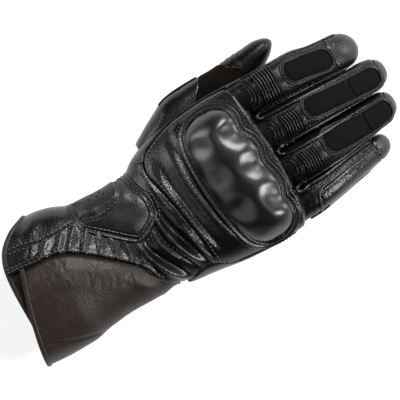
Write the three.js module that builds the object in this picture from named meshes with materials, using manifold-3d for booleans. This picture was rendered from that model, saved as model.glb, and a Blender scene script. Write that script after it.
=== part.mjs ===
// A right-hand leather motorcycle glove, lying palm down with its fingers curled as they are cut.
// Millimetres. +Z is up out of the back of the hand, +Y runs to the fingertips, and the thumb is on the -X side.
// Every tube of the glove (hand and cuff, four fingers, thumb) is a stack of oval slices across Y.
// The hand and cuff form one hollow shell, which is then cut into its leather panels along the seams.
import * as THREE from "three";
import { mergeVertices } from "three/addons/utils/BufferGeometryUtils.js";
import Module from "manifold-3d";

const wasm = await Module();
wasm.setup();

// Driving dimensions
const WALL = 2; // leather and lining together
const GAP = 0.3; // between neighbouring pieces
const SEAT = 0.85; // under a plate that lies on faceted leather
const FAR = 400; // reaches past the glove on every side
const BODY_SIDES = { top: 16, under: 6 }; // faces round a slice, finer on the back where it is folded
const BODY_PLAIN = { top: 12, under: 6 };
const BODY_INSIDE = { top: 10, under: 6 };
const FINGER_SIDES = { top: 8, under: 4 };
const FINGER_INSIDE = { top: 4, under: 4 };

// Hand and cuff: the edges of each slice. Square is the power of its oval, 2 for an ellipse. Leather is pressed flat
// where it rests, and rest is the height of that flat: the cuff rests on its flap.
const BODY = {
  tipY: 58,
  tipLength: 9,
  tipPower: 2.5,
  rows: [
    { y: -150, left: -40, right: 52, bottom: -1.5, top: 55, square: 2.3, rest: 3 },
    { y: -128, left: -39.5, right: 53.5, bottom: -1.5, top: 55, square: 2.3, rest: 3 },
    { y: -112, left: -38.5, right: 53.5, bottom: -1.5, top: 54, square: 2.3, rest: 3 },
    { y: -96, left: -36, right: 50.5, bottom: -1.5, top: 51, square: 2.3, rest: 3 },
    { y: -80, left: -29, right: 49, bottom: -1.5, top: 47.5, square: 2.3, rest: 3 },
    { y: -62, left: -26, right: 49.2, bottom: -1.3, top: 44.5, square: 2.3, rest: 3 },
    { y: -45, left: -27, right: 51, bottom: -1.2, top: 44, square: 2.35, rest: 3 },
    { y: -30, left: -36, right: 54.2, bottom: -2.6, top: 46, square: 2.4, rest: 0.8 },
    { y: -12, left: -43, right: 57, bottom: -3.2, top: 48, square: 2.4, rest: 0 },
    { y: 8, left: -46, right: 59.8, bottom: -2, top: 49, square: 2.5, rest: 0 },
    { y: 28, left: -47, right: 60.4, bottom: 5, top: 49, square: 2.7, rest: 0 },
    { y: 42, left: -47, right: 60, bottom: 11, top: 48.5, square: 2.9, rest: 0 },
    { y: 51, left: -46.5, right: 58.5, bottom: 20, top: 48, square: 3, rest: 0 },
    { y: 58, left: -46, right: 57.5, bottom: 22, top: 47.5, square: 3, rest: 0 },
  ],
};

// Fingers and thumb: the middle of each slice and its half sizes. They curl down towards the tips.
const INDEX = {
  tipY: 136.5,
  tipLength: 14,
  tipPower: 2.2,
  rows: [
    { y: 36, x: -32.4, z: 31.5, wide: 12.4, high: 11 },
    { y: 62, x: -32.4, z: 34.5, wide: 13.1, high: 11.8 },
    { y: 78, x: -32.2, z: 33, wide: 13.2, high: 11.7 },
    { y: 92, x: -31.6, z: 29, wide: 13.2, high: 11.4 },
    { y: 107, x: -29.6, z: 22.2, wide: 12.1, high: 11 },
    { y: 120, x: -28.9, z: 14.6, wide: 12.3, high: 10.6 },
    { y: 137, x: -28, z: 4.6, wide: 11.8, high: 9.6 },
  ],
};
const MIDDLE = {
  tipY: 145,
  tipLength: 13,
  tipPower: 2.2,
  rows: [
    { y: 36, x: -5.6, z: 34, wide: 12.3, high: 11.6 },
    { y: 62, x: -5.8, z: 35, wide: 12.8, high: 11.8 },
    { y: 80, x: -5.4, z: 33.6, wide: 12.6, high: 11.7 },
    { y: 96, x: -5, z: 29.6, wide: 12.2, high: 11.4 },
    { y: 112, x: -4.6, z: 22.6, wide: 11.7, high: 11 },
    { y: 128, x: -4.4, z: 13.6, wide: 11.3, high: 10.4 },
    { y: 145, x: -4.3, z: 4, wide: 10.8, high: 9.4 },
  ],
};
const RING = {
  tipY: 139.3,
  tipLength: 12,
  tipPower: 2.2,
  rows: [
    { y: 36, x: 21.6, z: 33.4, wide: 12.6, high: 11.4 },
    { y: 62, x: 21.2, z: 34.2, wide: 13, high: 11.7 },
    { y: 78, x: 21, z: 32.8, wide: 12.7, high: 11.6 },
    { y: 92, x: 20.3, z: 29, wide: 12.4, high: 11.2 },
    { y: 106, x: 19.3, z: 22.6, wide: 11.5, high: 10.8 },
    { y: 122, x: 18.5, z: 13.4, wide: 10.8, high: 10.2 },
    { y: 139, x: 18, z: 4.2, wide: 10.3, high: 9.2 },
  ],
};
const LITTLE = {
  tipY: 123.5,
  tipLength: 11,
  tipPower: 2.2,
  rows: [
    { y: 36, x: 47, z: 31, wide: 10.4, high: 10.4 },
    { y: 60, x: 46.2, z: 31.4, wide: 10.6, high: 10.8 },
    { y: 74, x: 45, z: 29.6, wide: 9.5, high: 10.6 },
    { y: 88, x: 42.8, z: 25, wide: 9.1, high: 10.2 },
    { y: 100, x: 41, z: 19, wide: 8.8, high: 9.8 },
    { y: 112, x: 39.4, z: 12, wide: 8.6, high: 9.2 },
    { y: 124, x: 38.2, z: 4.6, wide: 8.2, high: 8.2 },
  ],
};
const THUMB = {
  tipY: 87,
  tipLength: 13,
  tipPower: 2.1,
  rows: [
    { y: -26, x: -30, z: 14.5, wide: 12, high: 13.5 },
    { y: -6, x: -39.5, z: 14, wide: 14, high: 14.6 },
    { y: 8, x: -45, z: 13.4, wide: 14.6, high: 14 },
    { y: 28, x: -47.2, z: 12.6, wide: 13, high: 13 },
    { y: 45, x: -48.2, z: 12, wide: 12, high: 12.3 },
    { y: 60, x: -50, z: 11.4, wide: 11.3, high: 11.8 },
    { y: 74, x: -52, z: 10.8, wide: 10.4, high: 11 },
    { y: 87, x: -53.6, z: 10.2, wide: 9.6, high: 10.4 },
  ],
};
const FINGER_STATIONS = [40, 60, 78, 92, 107];
const FINGER_INSIDE_STATIONS = [40, 70, 92, 107];

// Folds of the soft leather on the back, as ridges from one point to another: half width, height and sideways bow.
// The gathers lie across the cuff, the wrist folds run over the wrist, and the last rows cross the back panel.
const GATHER_COUNT = 8;
const GATHER = { halfWidth: 2.4, height: 1.8, length: 11, firstY: -121, lastY: -66 };
const FOLDS = [
  { x0: -2, y0: -33, x1: 47, y1: -25, halfWidth: 3, height: 2.2, bow: -4 },
  { x0: 12, y0: -57, x1: 51, y1: -35, halfWidth: 3, height: 2.4, bow: -3 },
  { x0: 6, y0: -45, x1: 50, y1: -30, halfWidth: 2.6, height: 1.6, bow: -4 },
  { x0: 0, y0: -27, x1: 51, y1: -19, halfWidth: 2.4, height: 1.4, bow: -3 },
  { x0: -36, y0: -15, x1: 30, y1: -8, halfWidth: 3.4, height: 1.2, bow: -2 },
  { x0: -36, y0: -4, x1: 38, y1: 0, halfWidth: 3.4, height: 1.2, bow: -3 },
];

// Seams and edges in plan, as seen from above
const HEM = [
  [-60, -96], [-42, -106], [-37.8, -112.5], [-33.6, -121.6], [-29.5, -127.7], [-23.6, -133.4], [-16, -137],
  [-7, -138.7], [5, -139.5], [24, -139.6], [54, -140], [80, -141],
];
const FLAP_HEM = [
  [-20, -125], [-5, -129.8], [5.7, -133.2], [17, -136.8], [30.4, -140.2], [44, -143.2], [56, -144.9], [80, -146],
];
const BINDING_WIDTH = 4;
const FLAP_SEAM = [
  [-8, -150], [-7.7, -134.6], [-6, -118.4], [-5.5, -109.2], [-1.8, -98], [5.5, -87], [16, -74], [30, -58.5], [42, -53],
];
const FLAP_FRONT_Y = -43;
const FLAP_LOW_SEAM = [[41, -150], [42.7, -138], [49.2, -129.4], [53, -119], [60, -108]];
const FLAP_UNDER_EDGE_X = 12; // where the flap closes on the palm side
const CUFF_FRONT = [[-60, -43], [-30, -43], [2.5, -38], [12, -52.5], [42, -52], [55, -40], [80, -40]];
const BACK_PANEL = [
  [-29.7, -26.2], [-35, -21.7], [-42.1, -4.3], [-45, 14], [-46, 30], [-46, 46], [-42, 51.5], [-19.5, 51.3],
  [-8, 51.8], [6.5, 53.4], [21, 52.5], [31.5, 50.4], [43, 51.2], [64, 48], [64, -15], [51, -16.2], [28, -18.1],
  [7.2, -21.3], [-11.6, -25.7], [-23, -28],
];
const SIDE_SEAM_Z = 25; // height at which the upper panels meet the lower ones
const PALM_SEAM_Y = -44; // the palm meets the underside of the cuff here
const SIDE_PANEL = { x: 44, lowZ: 11, backY: -38, frontY: 40 };

// Pieces on top
const GUARD_OUTLINE = [
  [-32.8, 8.5], [-37.6, 14], [-39.8, 23], [-37.7, 31], [-32.5, 36.6], [-25, 38.6], [-18, 38.4], [-8.5, 41.7], [0, 44],
  [8.1, 43], [18.5, 45.2], [29, 46.2], [38, 44.9], [47, 45.1], [54, 42], [57, 34.4], [57, 24.7], [54, 17.2], [47.5, 12.1],
  [31.9, 8.3], [14.7, 4.9], [-4, 2.3], [-20.5, 3.3],
];
const GUARD = { height: 9, edgeLift: 2.2, rings: 7, underRings: 4, sectors: 32, power: 3.2 };
const KNUCKLES = [ // the four bumps along the guard's front edge
  { x: -22.5, y: 30, height: 3 },
  { x: 0, y: 33, height: 3.4 },
  { x: 22.5, y: 34, height: 3.4 },
  { x: 43, y: 33.5, height: 3 },
];
const KNUCKLE_RADIUS = { across: 8.5, along: 10 };
const WRIST_PAD_OUTLINE = [
  [-24.5, -80.5], [-18, -81], [-12.6, -79.5], [-0.7, -66.3], [9.8, -54.4], [10.6, -51.5], [8, -44.6], [2.2, -38],
  [-8, -37], [-24.5, -42.5], [-25, -62],
];
const WRIST_PAD = {
  thick: 3.6, edge: 1.6, rings: 4, underRings: 3, sectors: 24, channelDepth: 1.6, channelHalfWidth: 2.2,
};
const WRIST_PAD_CHANNEL = [[-14.3, -80], [-12.1, -71], [-11.6, -63.8], [-14.4, -55.5], [-18, -50], [-26, -46]];
const TEXTILE = { thick: 1.5, crown: 0.8, rings: 2, underRings: 2, sectors: 14 };
const TEXTILE_PADS = [ // stretch cloth on the fingers, rounded rectangles that run along each finger
  { name: "index_textile_pad", form: INDEX, y0: 84, y1: 115.5, x0: -31.5, x1: -28.8, half: 6.8 },
  { name: "middle_textile_pad", form: MIDDLE, y0: 84.5, y1: 116.8, x0: -5.6, x1: -4.2, half: 6.6 },
  { name: "middle_tip_pad", form: MIDDLE, y0: 118.6, y1: 138, x0: -3.6, x1: -3.4, half: 6.2 },
  { name: "ring_textile_pad", form: RING, y0: 84.5, y1: 115, x0: 20.8, x1: 20.3, half: 6.8 },
  { name: "ring_tip_pad", form: RING, y0: 116.8, y1: 133.5, x0: 20.4, x1: 19.8, half: 6.2 },
];
// Patches that wrap a finger: where they lie along it, how far round it they reach in degrees, and their rise.
// 0 degrees is the little-finger side and 90 the top. Ribs is the number of folds across the finger.
const RIB_STEPS = 2; // rows for each rib
const PANEL_ROWS = 8; // rows for a patch without ribs
const PATCH_SEAT = 0.4;
const PATCHES = [
  { name: "index_ribs", form: INDEX, y0: 62.5, y1: 77, from: 40, to: 150, thick: 0.5, rise: 1.5, ribs: 5, bow: 1.6 },
  { name: "middle_ribs", form: MIDDLE, y0: 64, y1: 78.5, from: 38, to: 118, thick: 0.5, rise: 1.5, ribs: 5, bow: 1.6 },
  { name: "ring_ribs", form: RING, y0: 62.5, y1: 77, from: 42, to: 112, thick: 0.5, rise: 1.5, ribs: 5, bow: 1.6 },
  { name: "little_outer_panel", form: LITTLE, y0: 67, y1: 110, from: -20, to: 84, thick: 1, rise: 0.3, ribs: 1, bow: 0 },
];
const PATCH_COLUMNS = 4;
const CAPS = [
  { name: "index_tip_cap", finger: "index_finger", form: INDEX, seamY: 117.5 },
  { name: "middle_tip_cap", finger: "middle_finger", form: MIDDLE, seamY: 139.6 },
  { name: "ring_tip_cap", finger: "ring_finger", form: RING, seamY: 134.6 },
  { name: "little_tip_cap", finger: "little_finger", form: LITTLE, seamY: 112.5 },
];
// Piping round the root of each gap between fingers: from the finger before it and up the back of the next one
const CROTCH_PIPING = { radius: 1, sides: 4, steps: 10, lift: 1.2 };
const CROTCHES = [
  { name: "index_middle_piping", left: INDEX, right: MIDDLE,
    plan: [[-21.5, 60.5], [-20.2, 56.5], [-17.9, 54], [-15.7, 57], [-14.9, 65], [-13.6, 75], [-13, 82]] },
  { name: "middle_ring_piping", left: MIDDLE, right: RING,
    plan: [[5.4, 61], [6.4, 57], [8.6, 54.5], [10.9, 57.5], [13, 65], [13.6, 76]] },
  { name: "ring_little_piping", left: RING, right: LITTLE,
    plan: [[32, 60], [33.4, 56], [35.6, 53], [38, 56], [39.4, 64]] },
];
const THUMB_SEAMS = { base: 33, insert: 53 }; // the base pad, the suede insert and the tip meet here

const LEATHER = { color: 0x1a1a1c, roughness: 0.45, metalness: 0 };
const BROWN_LEATHER = { color: 0x2d2624, roughness: 0.5, metalness: 0 };
const MATERIALS = {
  leather: new THREE.MeshStandardMaterial(LEATHER),
  flap_leather: new THREE.MeshStandardMaterial(BROWN_LEATHER),
  palm_suede: new THREE.MeshStandardMaterial({ color: 0x241a12, roughness: 0.85, metalness: 0 }),
  textile: new THREE.MeshStandardMaterial({ color: 0x14161a, roughness: 0.95, metalness: 0 }),
  guard_shell: new THREE.MeshStandardMaterial({ color: 0x1e1e20, roughness: 0.28, metalness: 0 }),
};

// A column of a table at y, on a smooth line through the rows that never overshoots them.
function along(rows, column, y) {
  const last = rows.length - 1;
  if (y <= rows[0].y) return rows[0][column];
  if (y >= rows[last].y) return rows[last][column];
  let i = 0;
  while (rows[i + 1].y < y) i++;
  const slope = (k) => (rows[k + 1][column] - rows[k][column]) / (rows[k + 1].y - rows[k].y);
  const tangent = (k) => {
    if (k === 0) return slope(0);
    if (k === last) return slope(last - 1);
    const before = slope(k - 1);
    const after = slope(k);
    return before * after <= 0 ? 0 : (2 * before * after) / (before + after);
  };
  const span = rows[i + 1].y - rows[i].y;
  const t = (y - rows[i].y) / span;
  const rise = t * t * (3 - 2 * t);
  const ease = span * t * (1 - t);
  return rows[i][column] + (rows[i + 1][column] - rows[i][column]) * rise
    + ease * ((1 - t) * tangent(i) - t * tangent(i + 1));
}

// The oval slice of a form at y, grown by a lift. A negative lift gives the inside of a wall.
function slice(form, y, lift) {
  const at = (column) => along(form.rows, column, y);
  const oval = form === BODY
    ? { x: (at("left") + at("right")) / 2, wide: (at("right") - at("left")) / 2, z: (at("bottom") + at("top")) / 2,
        high: (at("top") - at("bottom")) / 2, power: at("square") }
    : { x: at("x"), wide: at("wide"), z: at("z"), high: at("high"), power: 2.2 };
  const pastStart = Math.max(0, y - (form.tipY - form.tipLength)) / (form.tipLength + lift);
  const round = Math.max(0, 1 - pastStart ** form.tipPower) ** (1 / form.tipPower);
  oval.wide = (oval.wide + lift) * (form === BODY ? 1 : round);
  oval.high = (oval.high + lift) * round;
  return oval;
}

// Height of the leather folds at a point of the back, seen from above.
function foldHeight(x, y) {
  let height = 0;
  for (const fold of FOLDS) height += ridge(fold, x, y);
  for (let i = 0; i < GATHER_COUNT; i++) height += ridge(gather(i), x, y);
  return height;
}

// One gather of the cuff: it leans across the band beside the flap seam.
function gather(i) {
  const y = GATHER.firstY + ((GATHER.lastY - GATHER.firstY) * i) / (GATHER_COUNT - 1);
  const x = seamX(y) - GATHER.length;
  const { length, halfWidth, height } = GATHER;
  return { x0: x, y0: y + 6, x1: x + length, y1: y - 1, halfWidth, height, bow: 0 };
}

// Where the flap seam runs at y.
function seamX(y) {
  const i = Math.max(1, FLAP_SEAM.findIndex((p) => p[1] > y));
  const [[x0, y0], [x1, y1]] = [FLAP_SEAM[i - 1], FLAP_SEAM[i]];
  return x0 + ((x1 - x0) * (y - y0)) / (y1 - y0);
}

function ridge(fold, x, y) {
  const along = new THREE.Vector2(fold.x1 - fold.x0, fold.y1 - fold.y0);
  const length = along.length();
  along.normalize();
  const dx = x - fold.x0;
  const dy = y - fold.y0;
  const t = (dx * along.x + dy * along.y) / length;
  if (t <= 0 || t >= 1) return 0;
  const bow = 4 * fold.bow * t * (1 - t);
  const side = dx * -along.y + dy * along.x - bow;
  return fold.height * Math.exp(-((side / fold.halfWidth) ** 2)) * Math.sin(Math.PI * t) ** 0.6;
}

// A point of a form's surface. Angle 0 is the little-finger side and a quarter turn is the top.
function ringPoint(form, y, angle, lift, folded) {
  const { x, wide, z, high, power } = slice(form, y, lift);
  const c = Math.cos(angle);
  const s = Math.sin(angle);
  const px = x + wide * Math.sign(c) * Math.abs(c) ** (2 / power);
  let pz = z + high * Math.sign(s) * Math.abs(s) ** (2 / power);
  if (folded && s > 0) pz += foldHeight(px, y) * Math.min(1, 2 * s);
  const rest = form === BODY ? along(form.rows, "rest", y) : 0;
  return new THREE.Vector3(px, y, Math.max(pz, rest - lift, 0));
}

// Height of the top of a form over a point in plan.
function topZ(form, x, y, lift) {
  const oval = slice(form, y, lift);
  const side = Math.min(1, Math.abs(x - oval.x) / oval.wide);
  const z = oval.z + oval.high * (1 - side ** oval.power) ** (1 / oval.power);
  return form === BODY ? z + foldHeight(x, y) * Math.min(1, 3 * (1 - side)) : z;
}

// A point above the top of a form, lifted square to its surface.
function above(form, x, y, lift) {
  const reach = 0.5;
  const slopeX = (topZ(form, x + reach, y, 0) - topZ(form, x - reach, y, 0)) / (2 * reach);
  const slopeY = (topZ(form, x, y + reach, 0) - topZ(form, x, y - reach, 0)) / (2 * reach);
  const normal = new THREE.Vector3(-slopeX, -slopeY, 1).normalize();
  return new THREE.Vector3(x, y, topZ(form, x, y, 0)).addScaledVector(normal, lift);
}

// A closed mesh from rings of points, with a flat fan over each end.
function ringsToGeometry(rings) {
  const sides = rings[0].length;
  const points = rings.flat();
  const faces = [];
  for (let i = 0; i + 1 < rings.length; i++) {
    for (let k = 0; k < sides; k++) {
      const a = i * sides + k;
      const b = i * sides + ((k + 1) % sides);
      faces.push(a, a + sides, b, b, a + sides, b + sides);
    }
  }
  const centre = (ring) => ring.reduce((sum, p) => sum.add(p), new THREE.Vector3()).divideScalar(sides);
  const first = points.push(centre(rings[0])) - 1;
  const last = points.push(centre(rings.at(-1))) - 1;
  const lastRing = (rings.length - 1) * sides;
  for (let k = 0; k < sides; k++) {
    const next = (k + 1) % sides;
    faces.push(first, k, next, last, lastRing + next, lastRing + k);
  }
  return geometryOf(points, faces);
}

function geometryOf(points, faces) {
  return new THREE.BufferGeometry().setFromPoints(points).setIndex(faces);
}

function solidOf(geometry) {
  const bare = new THREE.BufferGeometry().setAttribute("position", geometry.getAttribute("position"));
  if (geometry.index) bare.setIndex(geometry.index);
  const merged = mergeVertices(bare, 1e-4);
  const solid = new wasm.Manifold(new wasm.Mesh({
    numProp: 3,
    vertProperties: merged.attributes.position.array,
    triVerts: new Uint32Array(merged.index.array),
  }));
  if (solid.volume() < 0) throw new Error("a shape is inside out");
  return solid;
}

function tube(form, stations, sides, lift, folded = false) {
  const angles = [];
  for (let k = 0; k < sides.top; k++) angles.push((Math.PI * k) / sides.top);
  for (let k = 0; k < sides.under; k++) angles.push(Math.PI * (1 + k / sides.under));
  const ring = (y) => angles.map((angle) => ringPoint(form, y, angle, lift, folded));
  return solidOf(ringsToGeometry(stations.map(ring)));
}

// Stations that close in on a rounded tip.
function withTip(stations, form, lift, steps) {
  const start = form.tipY - form.tipLength;
  const made = stations.filter((y) => y < start - 2);
  for (let i = 0; i <= steps; i++) {
    made.push(start + (form.tipLength + lift) * Math.sin((Math.PI / 2) * Math.min(0.96, i / steps)));
  }
  return made;
}

// A block over an outline in plan, between two heights.
function prism(outline, low = -FAR, high = FAR) {
  const shape = new THREE.Shape(outline.map(([x, y]) => new THREE.Vector2(x, y)));
  const block = new THREE.ExtrudeGeometry(shape, { depth: high - low, bevelEnabled: false });
  return solidOf(block.translate(0, 0, low));
}

// An outline moved outwards by a distance, or inwards if that is negative.
function grown(outline, distance) {
  const turn = THREE.ShapeUtils.area(outline.map(([x, y]) => new THREE.Vector2(x, y))) > 0 ? 1 : -1;
  return outline.map((p, i) => {
    const before = outline.at(i - 1);
    const after = outline[(i + 1) % outline.length];
    const a = new THREE.Vector2(p[1] - before[1], before[0] - p[0]).normalize();
    const b = new THREE.Vector2(after[1] - p[1], p[0] - after[0]).normalize();
    const miter = a.clone().add(b).normalize();
    const reach = (turn * distance) / Math.max(0.5, miter.dot(a));
    return [p[0] + miter.x * reach, p[1] + miter.y * reach];
  });
}

// The plan area on the fingertip side of a line that runs from thumb to little finger.
function inFrontOf(line, shift = 0) {
  const edge = line.map(([x, y]) => [x, y + shift]);
  return [...edge, [FAR, edge.at(-1)[1]], [FAR, FAR], [-FAR, FAR], [-FAR, edge[0][1]]];
}

// The largest body of a solid, without the slivers that a cut leaves.
function largest(solid) {
  return solid.decompose().sort((a, b) => b.volume() - a.volume())[0];
}

const glove = new THREE.Group();

function add(name, solid, material) {
  const mesh = largest(solid).getMesh();
  const geometry = new THREE.BufferGeometry();
  geometry.setAttribute("position", new THREE.BufferAttribute(mesh.vertProperties, 3));
  geometry.setIndex(new THREE.BufferAttribute(mesh.triVerts, 1));
  geometry.computeVertexNormals();
  const piece = new THREE.Mesh(geometry, material);
  piece.name = name;
  glove.add(piece);
}

// Plan points of a smooth closed outline, evenly spaced and anticlockwise from above.
function smoothOutline(outline, count) {
  const curve = new THREE.CatmullRomCurve3(outline.map(([x, y]) => new THREE.Vector3(x, y, 0)), true, "centripetal");
  const points = curve.getSpacedPoints(count).slice(0, count);
  if (THREE.ShapeUtils.area(points) < 0) points.reverse();
  return points.map((p) => [p.x, p.y]);
}

// A plate on top of a form: rings from its middle to its outline, with a lift for the upper face. Its under side
// follows the form.
function plate(form, outline, { rings: upperRings, underRings }, upperLift) {
  const middle = outline.reduce((sum, p) => [sum[0] + p[0] / outline.length, sum[1] + p[1] / outline.length], [0, 0]);
  const count = outline.length;
  const points = [];
  const layer = (rings, lift) => {
    const start = points.length;
    for (let r = 0; r <= rings; r++) {
      const share = Math.sin((Math.PI / 2) * (r / rings));
      for (let k = 0; k < (r === 0 ? 1 : count); k++) {
        const x = middle[0] + (outline[k][0] - middle[0]) * share;
        const y = middle[1] + (outline[k][1] - middle[1]) * share;
        points.push(new THREE.Vector3(x, y, topZ(form, x, y, 0) + lift(x, y, share)));
      }
    }
    return start;
  };
  const upper = layer(upperRings, upperLift);
  const lower = layer(underRings, () => SEAT);
  const faces = [];
  const at = (start, r, k) => (r === 0 ? start : start + 1 + (r - 1) * count + (k % count));
  for (let k = 0; k < count; k++) {
    for (let r = 0; r < upperRings; r++) {
      const [a, b, c, d] = [at(upper, r, k), at(upper, r + 1, k), at(upper, r + 1, k + 1), at(upper, r, k + 1)];
      faces.push(a, b, c);
      if (r > 0) faces.push(a, c, d);
    }
    for (let r = 0; r < underRings; r++) {
      const [a, b, c, d] = [at(lower, r, k), at(lower, r + 1, k), at(lower, r + 1, k + 1), at(lower, r, k + 1)];
      faces.push(a, c, b);
      if (r > 0) faces.push(a, d, c);
    }
    const [a, b] = [at(upper, upperRings, k), at(upper, upperRings, k + 1)];
    const [c, d] = [at(lower, underRings, k), at(lower, underRings, k + 1)];
    faces.push(a, c, b, b, c, d);
  }
  return solidOf(geometryOf(points, faces));
}

// A patch that wraps a form between two lifts, as a closed grid of rows along Y and columns round it.
function patch({ form, y0, y1, from, to, thick, rise, ribs, bow }) {
  const rows = ribs > 1 ? ribs * RIB_STEPS : PANEL_ROWS;
  const points = [];
  for (const upper of [true, false]) {
    for (let i = 0; i <= rows; i++) {
      const wave = ribs > 1 ? Math.sin((Math.PI * i) / RIB_STEPS) ** 2 : Math.sin((Math.PI * i) / rows);
      for (let k = 0; k <= PATCH_COLUMNS; k++) {
        const share = (2 * k) / PATCH_COLUMNS - 1;
        const y = y0 + ((y1 - y0) * i) / rows + bow * (1 - share ** 2);
        const angle = THREE.MathUtils.degToRad(from + ((to - from) * k) / PATCH_COLUMNS);
        points.push(ringPoint(form, y, angle, PATCH_SEAT + (upper ? thick + rise * wave : 0)));
      }
    }
  }
  const width = PATCH_COLUMNS + 1;
  const layer = (rows + 1) * width;
  const faces = [];
  const quad = (a, b, c, d) => faces.push(a, c, b, a, d, c);
  for (let i = 0; i < rows; i++) {
    for (let k = 0; k < PATCH_COLUMNS; k++) {
      const a = i * width + k;
      quad(a, a + 1, a + 1 + width, a + width);
      quad(layer + a, layer + a + width, layer + a + 1 + width, layer + a + 1);
    }
    const [left, right] = [i * width, i * width + PATCH_COLUMNS];
    quad(left, left + width, layer + left + width, layer + left);
    quad(right + width, right, layer + right, layer + right + width);
  }
  for (let k = 0; k < PATCH_COLUMNS; k++) {
    const end = rows * width + k;
    quad(k + 1, k, layer + k, layer + k + 1);
    quad(end, end + 1, layer + end + 1, layer + end);
  }
  return solidOf(geometryOf(points, faces));
}

// Shortest distance in plan from a point to a line of points.
function distanceTo(line, x, y) {
  let best = Infinity;
  for (let i = 0; i + 1 < line.length; i++) {
    const [[x0, y0], [x1, y1]] = [line[i], line[i + 1]];
    const [alongX, alongY] = [x1 - x0, y1 - y0];
    const share = ((x - x0) * alongX + (y - y0) * alongY) / (alongX ** 2 + alongY ** 2);
    const t = THREE.MathUtils.clamp(share, 0, 1);
    best = Math.min(best, Math.hypot(x - x0 - t * alongX, y - y0 - t * alongY));
  }
  return best;
}

// The hand and cuff, hollow from the hem to the knuckles. The back has stations close enough for its folds.
const gatherStep = (GATHER.lastY - GATHER.firstY) / (GATHER_COUNT - 1);
const foldedStations = [-150, -136];
for (let y = GATHER.firstY - gatherStep; y < GATHER.lastY + 1; y += gatherStep / 2) foldedStations.push(y);
foldedStations.push(-61, -57, -53, -49, -45, -41, -37, -33, -29, -25, -21, -16, -12, -8, -3, 6, 22, 38);
const PLAIN_STATIONS = [-150, -128, -112, -96, -80, -62, -45, -30, -12, 8, 28, 42];
const bodyFolded = (lift) => tube(BODY, withTip(foldedStations, BODY, lift, 3), BODY_SIDES, lift, true);
const bodyPlain = (lift) => tube(BODY, withTip(PLAIN_STATIONS, BODY, lift, 3), BODY_PLAIN, lift);
const bodyInner = tube(BODY, withTip(PLAIN_STATIONS, BODY, -WALL, 2), BODY_INSIDE, -WALL);
const grownBody = bodyFolded(GAP);
const hollow = (form) => tube(form, withTip(FINGER_INSIDE_STATIONS, form, -WALL, 2), FINGER_INSIDE, -WALL);

const THUMB_STATIONS = [-26, -12, 2, 18, 33, 46, 60];
const thumbOuter = tube(THUMB, withTip(THUMB_STATIONS, THUMB, 0, 3), FINGER_SIDES, 0);
const thumbInner = tube(THUMB, withTip(THUMB_STATIONS, THUMB, -WALL, 2), FINGER_INSIDE, -WALL);

const behindHem = prism(inFrontOf(HEM, BINDING_WIDTH + GAP));
const hollowOut = (body) => {
  let shell = body.subtract(bodyInner).subtract(thumbInner).intersect(behindHem);
  for (const form of [INDEX, MIDDLE, RING, LITTLE]) shell = shell.subtract(hollow(form));
  return shell;
};
let back = hollowOut(bodyFolded(0));
let underside = hollowOut(bodyPlain(0));

// Upper panels are cut out one by one along their seams, and what is left is the underside.
const takePanel = (plan, low) => {
  const panel = back.intersect(prism(plan, low));
  const cutter = prism(grown(plan, GAP), low - GAP);
  back = back.subtract(cutter);
  underside = underside.subtract(cutter);
  return panel;
};
const cuffBackPlan = [[-FAR, -FAR], ...FLAP_SEAM, [42, -51], ...CUFF_FRONT.slice(0, 4).reverse(), [-FAR, -43]];
add("cuff_back", takePanel(cuffBackPlan, SIDE_SEAM_Z - 8), MATERIALS.leather);
add("hand_back", takePanel(BACK_PANEL, SIDE_SEAM_Z), MATERIALS.leather);
add("knuckle_yoke", takePanel([[-FAR, 44], [FAR, 44], [FAR, FAR], [-FAR, FAR]], SIDE_SEAM_Z + 6), MATERIALS.leather);
const wristPlan = [...CUFF_FRONT.slice(0, 4), [14, -54], [42, -54], ...CUFF_FRONT.slice(5), [80, 0], [-48, 0], [-60, -20]];
add("wrist_gather", takePanel(wristPlan, SIDE_SEAM_Z - 6), MATERIALS.leather);
const { x: sideX, lowZ, backY, frontY } = SIDE_PANEL;
add("hand_side", takePanel([[sideX, backY], [FAR, backY], [FAR, frontY], [sideX, frontY]], lowZ), MATERIALS.leather);
const aheadOf = (y) => prism([[-FAR, y], [FAR, y], [FAR, FAR], [-FAR, FAR]]);
add("hand_palm", underside.intersect(aheadOf(PALM_SEAM_Y)), MATERIALS.leather);
add("cuff_under", underside.subtract(aheadOf(PALM_SEAM_Y - GAP)), MATERIALS.leather);

// The hem binding is folded round the edge, so it is thicker than the wall
const BINDING_LIFT = 0.7;
const bindingStations = [-150, -128, -112, -96];
const bindingRing = tube(BODY, bindingStations, BODY_PLAIN, BINDING_LIFT)
  .subtract(tube(BODY, bindingStations, BODY_INSIDE, -WALL - BINDING_LIFT));
const strip = (line, width) => prism(inFrontOf(line)).subtract(prism(inFrontOf(line, width)));
add("cuff_binding", bindingRing.intersect(strip(HEM, BINDING_WIDTH)), MATERIALS.flap_leather);

// The flap lies over the little-finger side of the cuff and closes underneath
const FLAP_LIFT = BINDING_LIFT + GAP;
const flapStations = [-150, -128, -112, -96, -82, -66, -53, -38];
const flapRing = tube(BODY, flapStations, BODY_PLAIN, FLAP_LIFT + WALL)
  .subtract(tube(BODY, flapStations, BODY_PLAIN, FLAP_LIFT));
const flapFront = [[-FAR, FLAP_FRONT_Y], [FAR, FLAP_FRONT_Y], [FAR, -FAR], [-FAR, -FAR]];
const flapPlan = [...FLAP_SEAM.map(([x, y]) => [x + 1, y]), [56, -43], [FAR, -43], [FAR, -FAR], [-8, -FAR]];
const lowPlan = [...FLAP_LOW_SEAM, [FAR, -108], [FAR, -FAR], [41, -FAR]];
const underPlan = [
  [FLAP_UNDER_EDGE_X, -FAR], [FLAP_UNDER_EDGE_X, FLAP_FRONT_Y], [FAR, FLAP_FRONT_Y], [FAR, -FAR],
];
const flapAll = flapRing.intersect(prism(flapFront)).intersect(prism(inFrontOf(FLAP_HEM, BINDING_WIDTH + GAP)));
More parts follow.
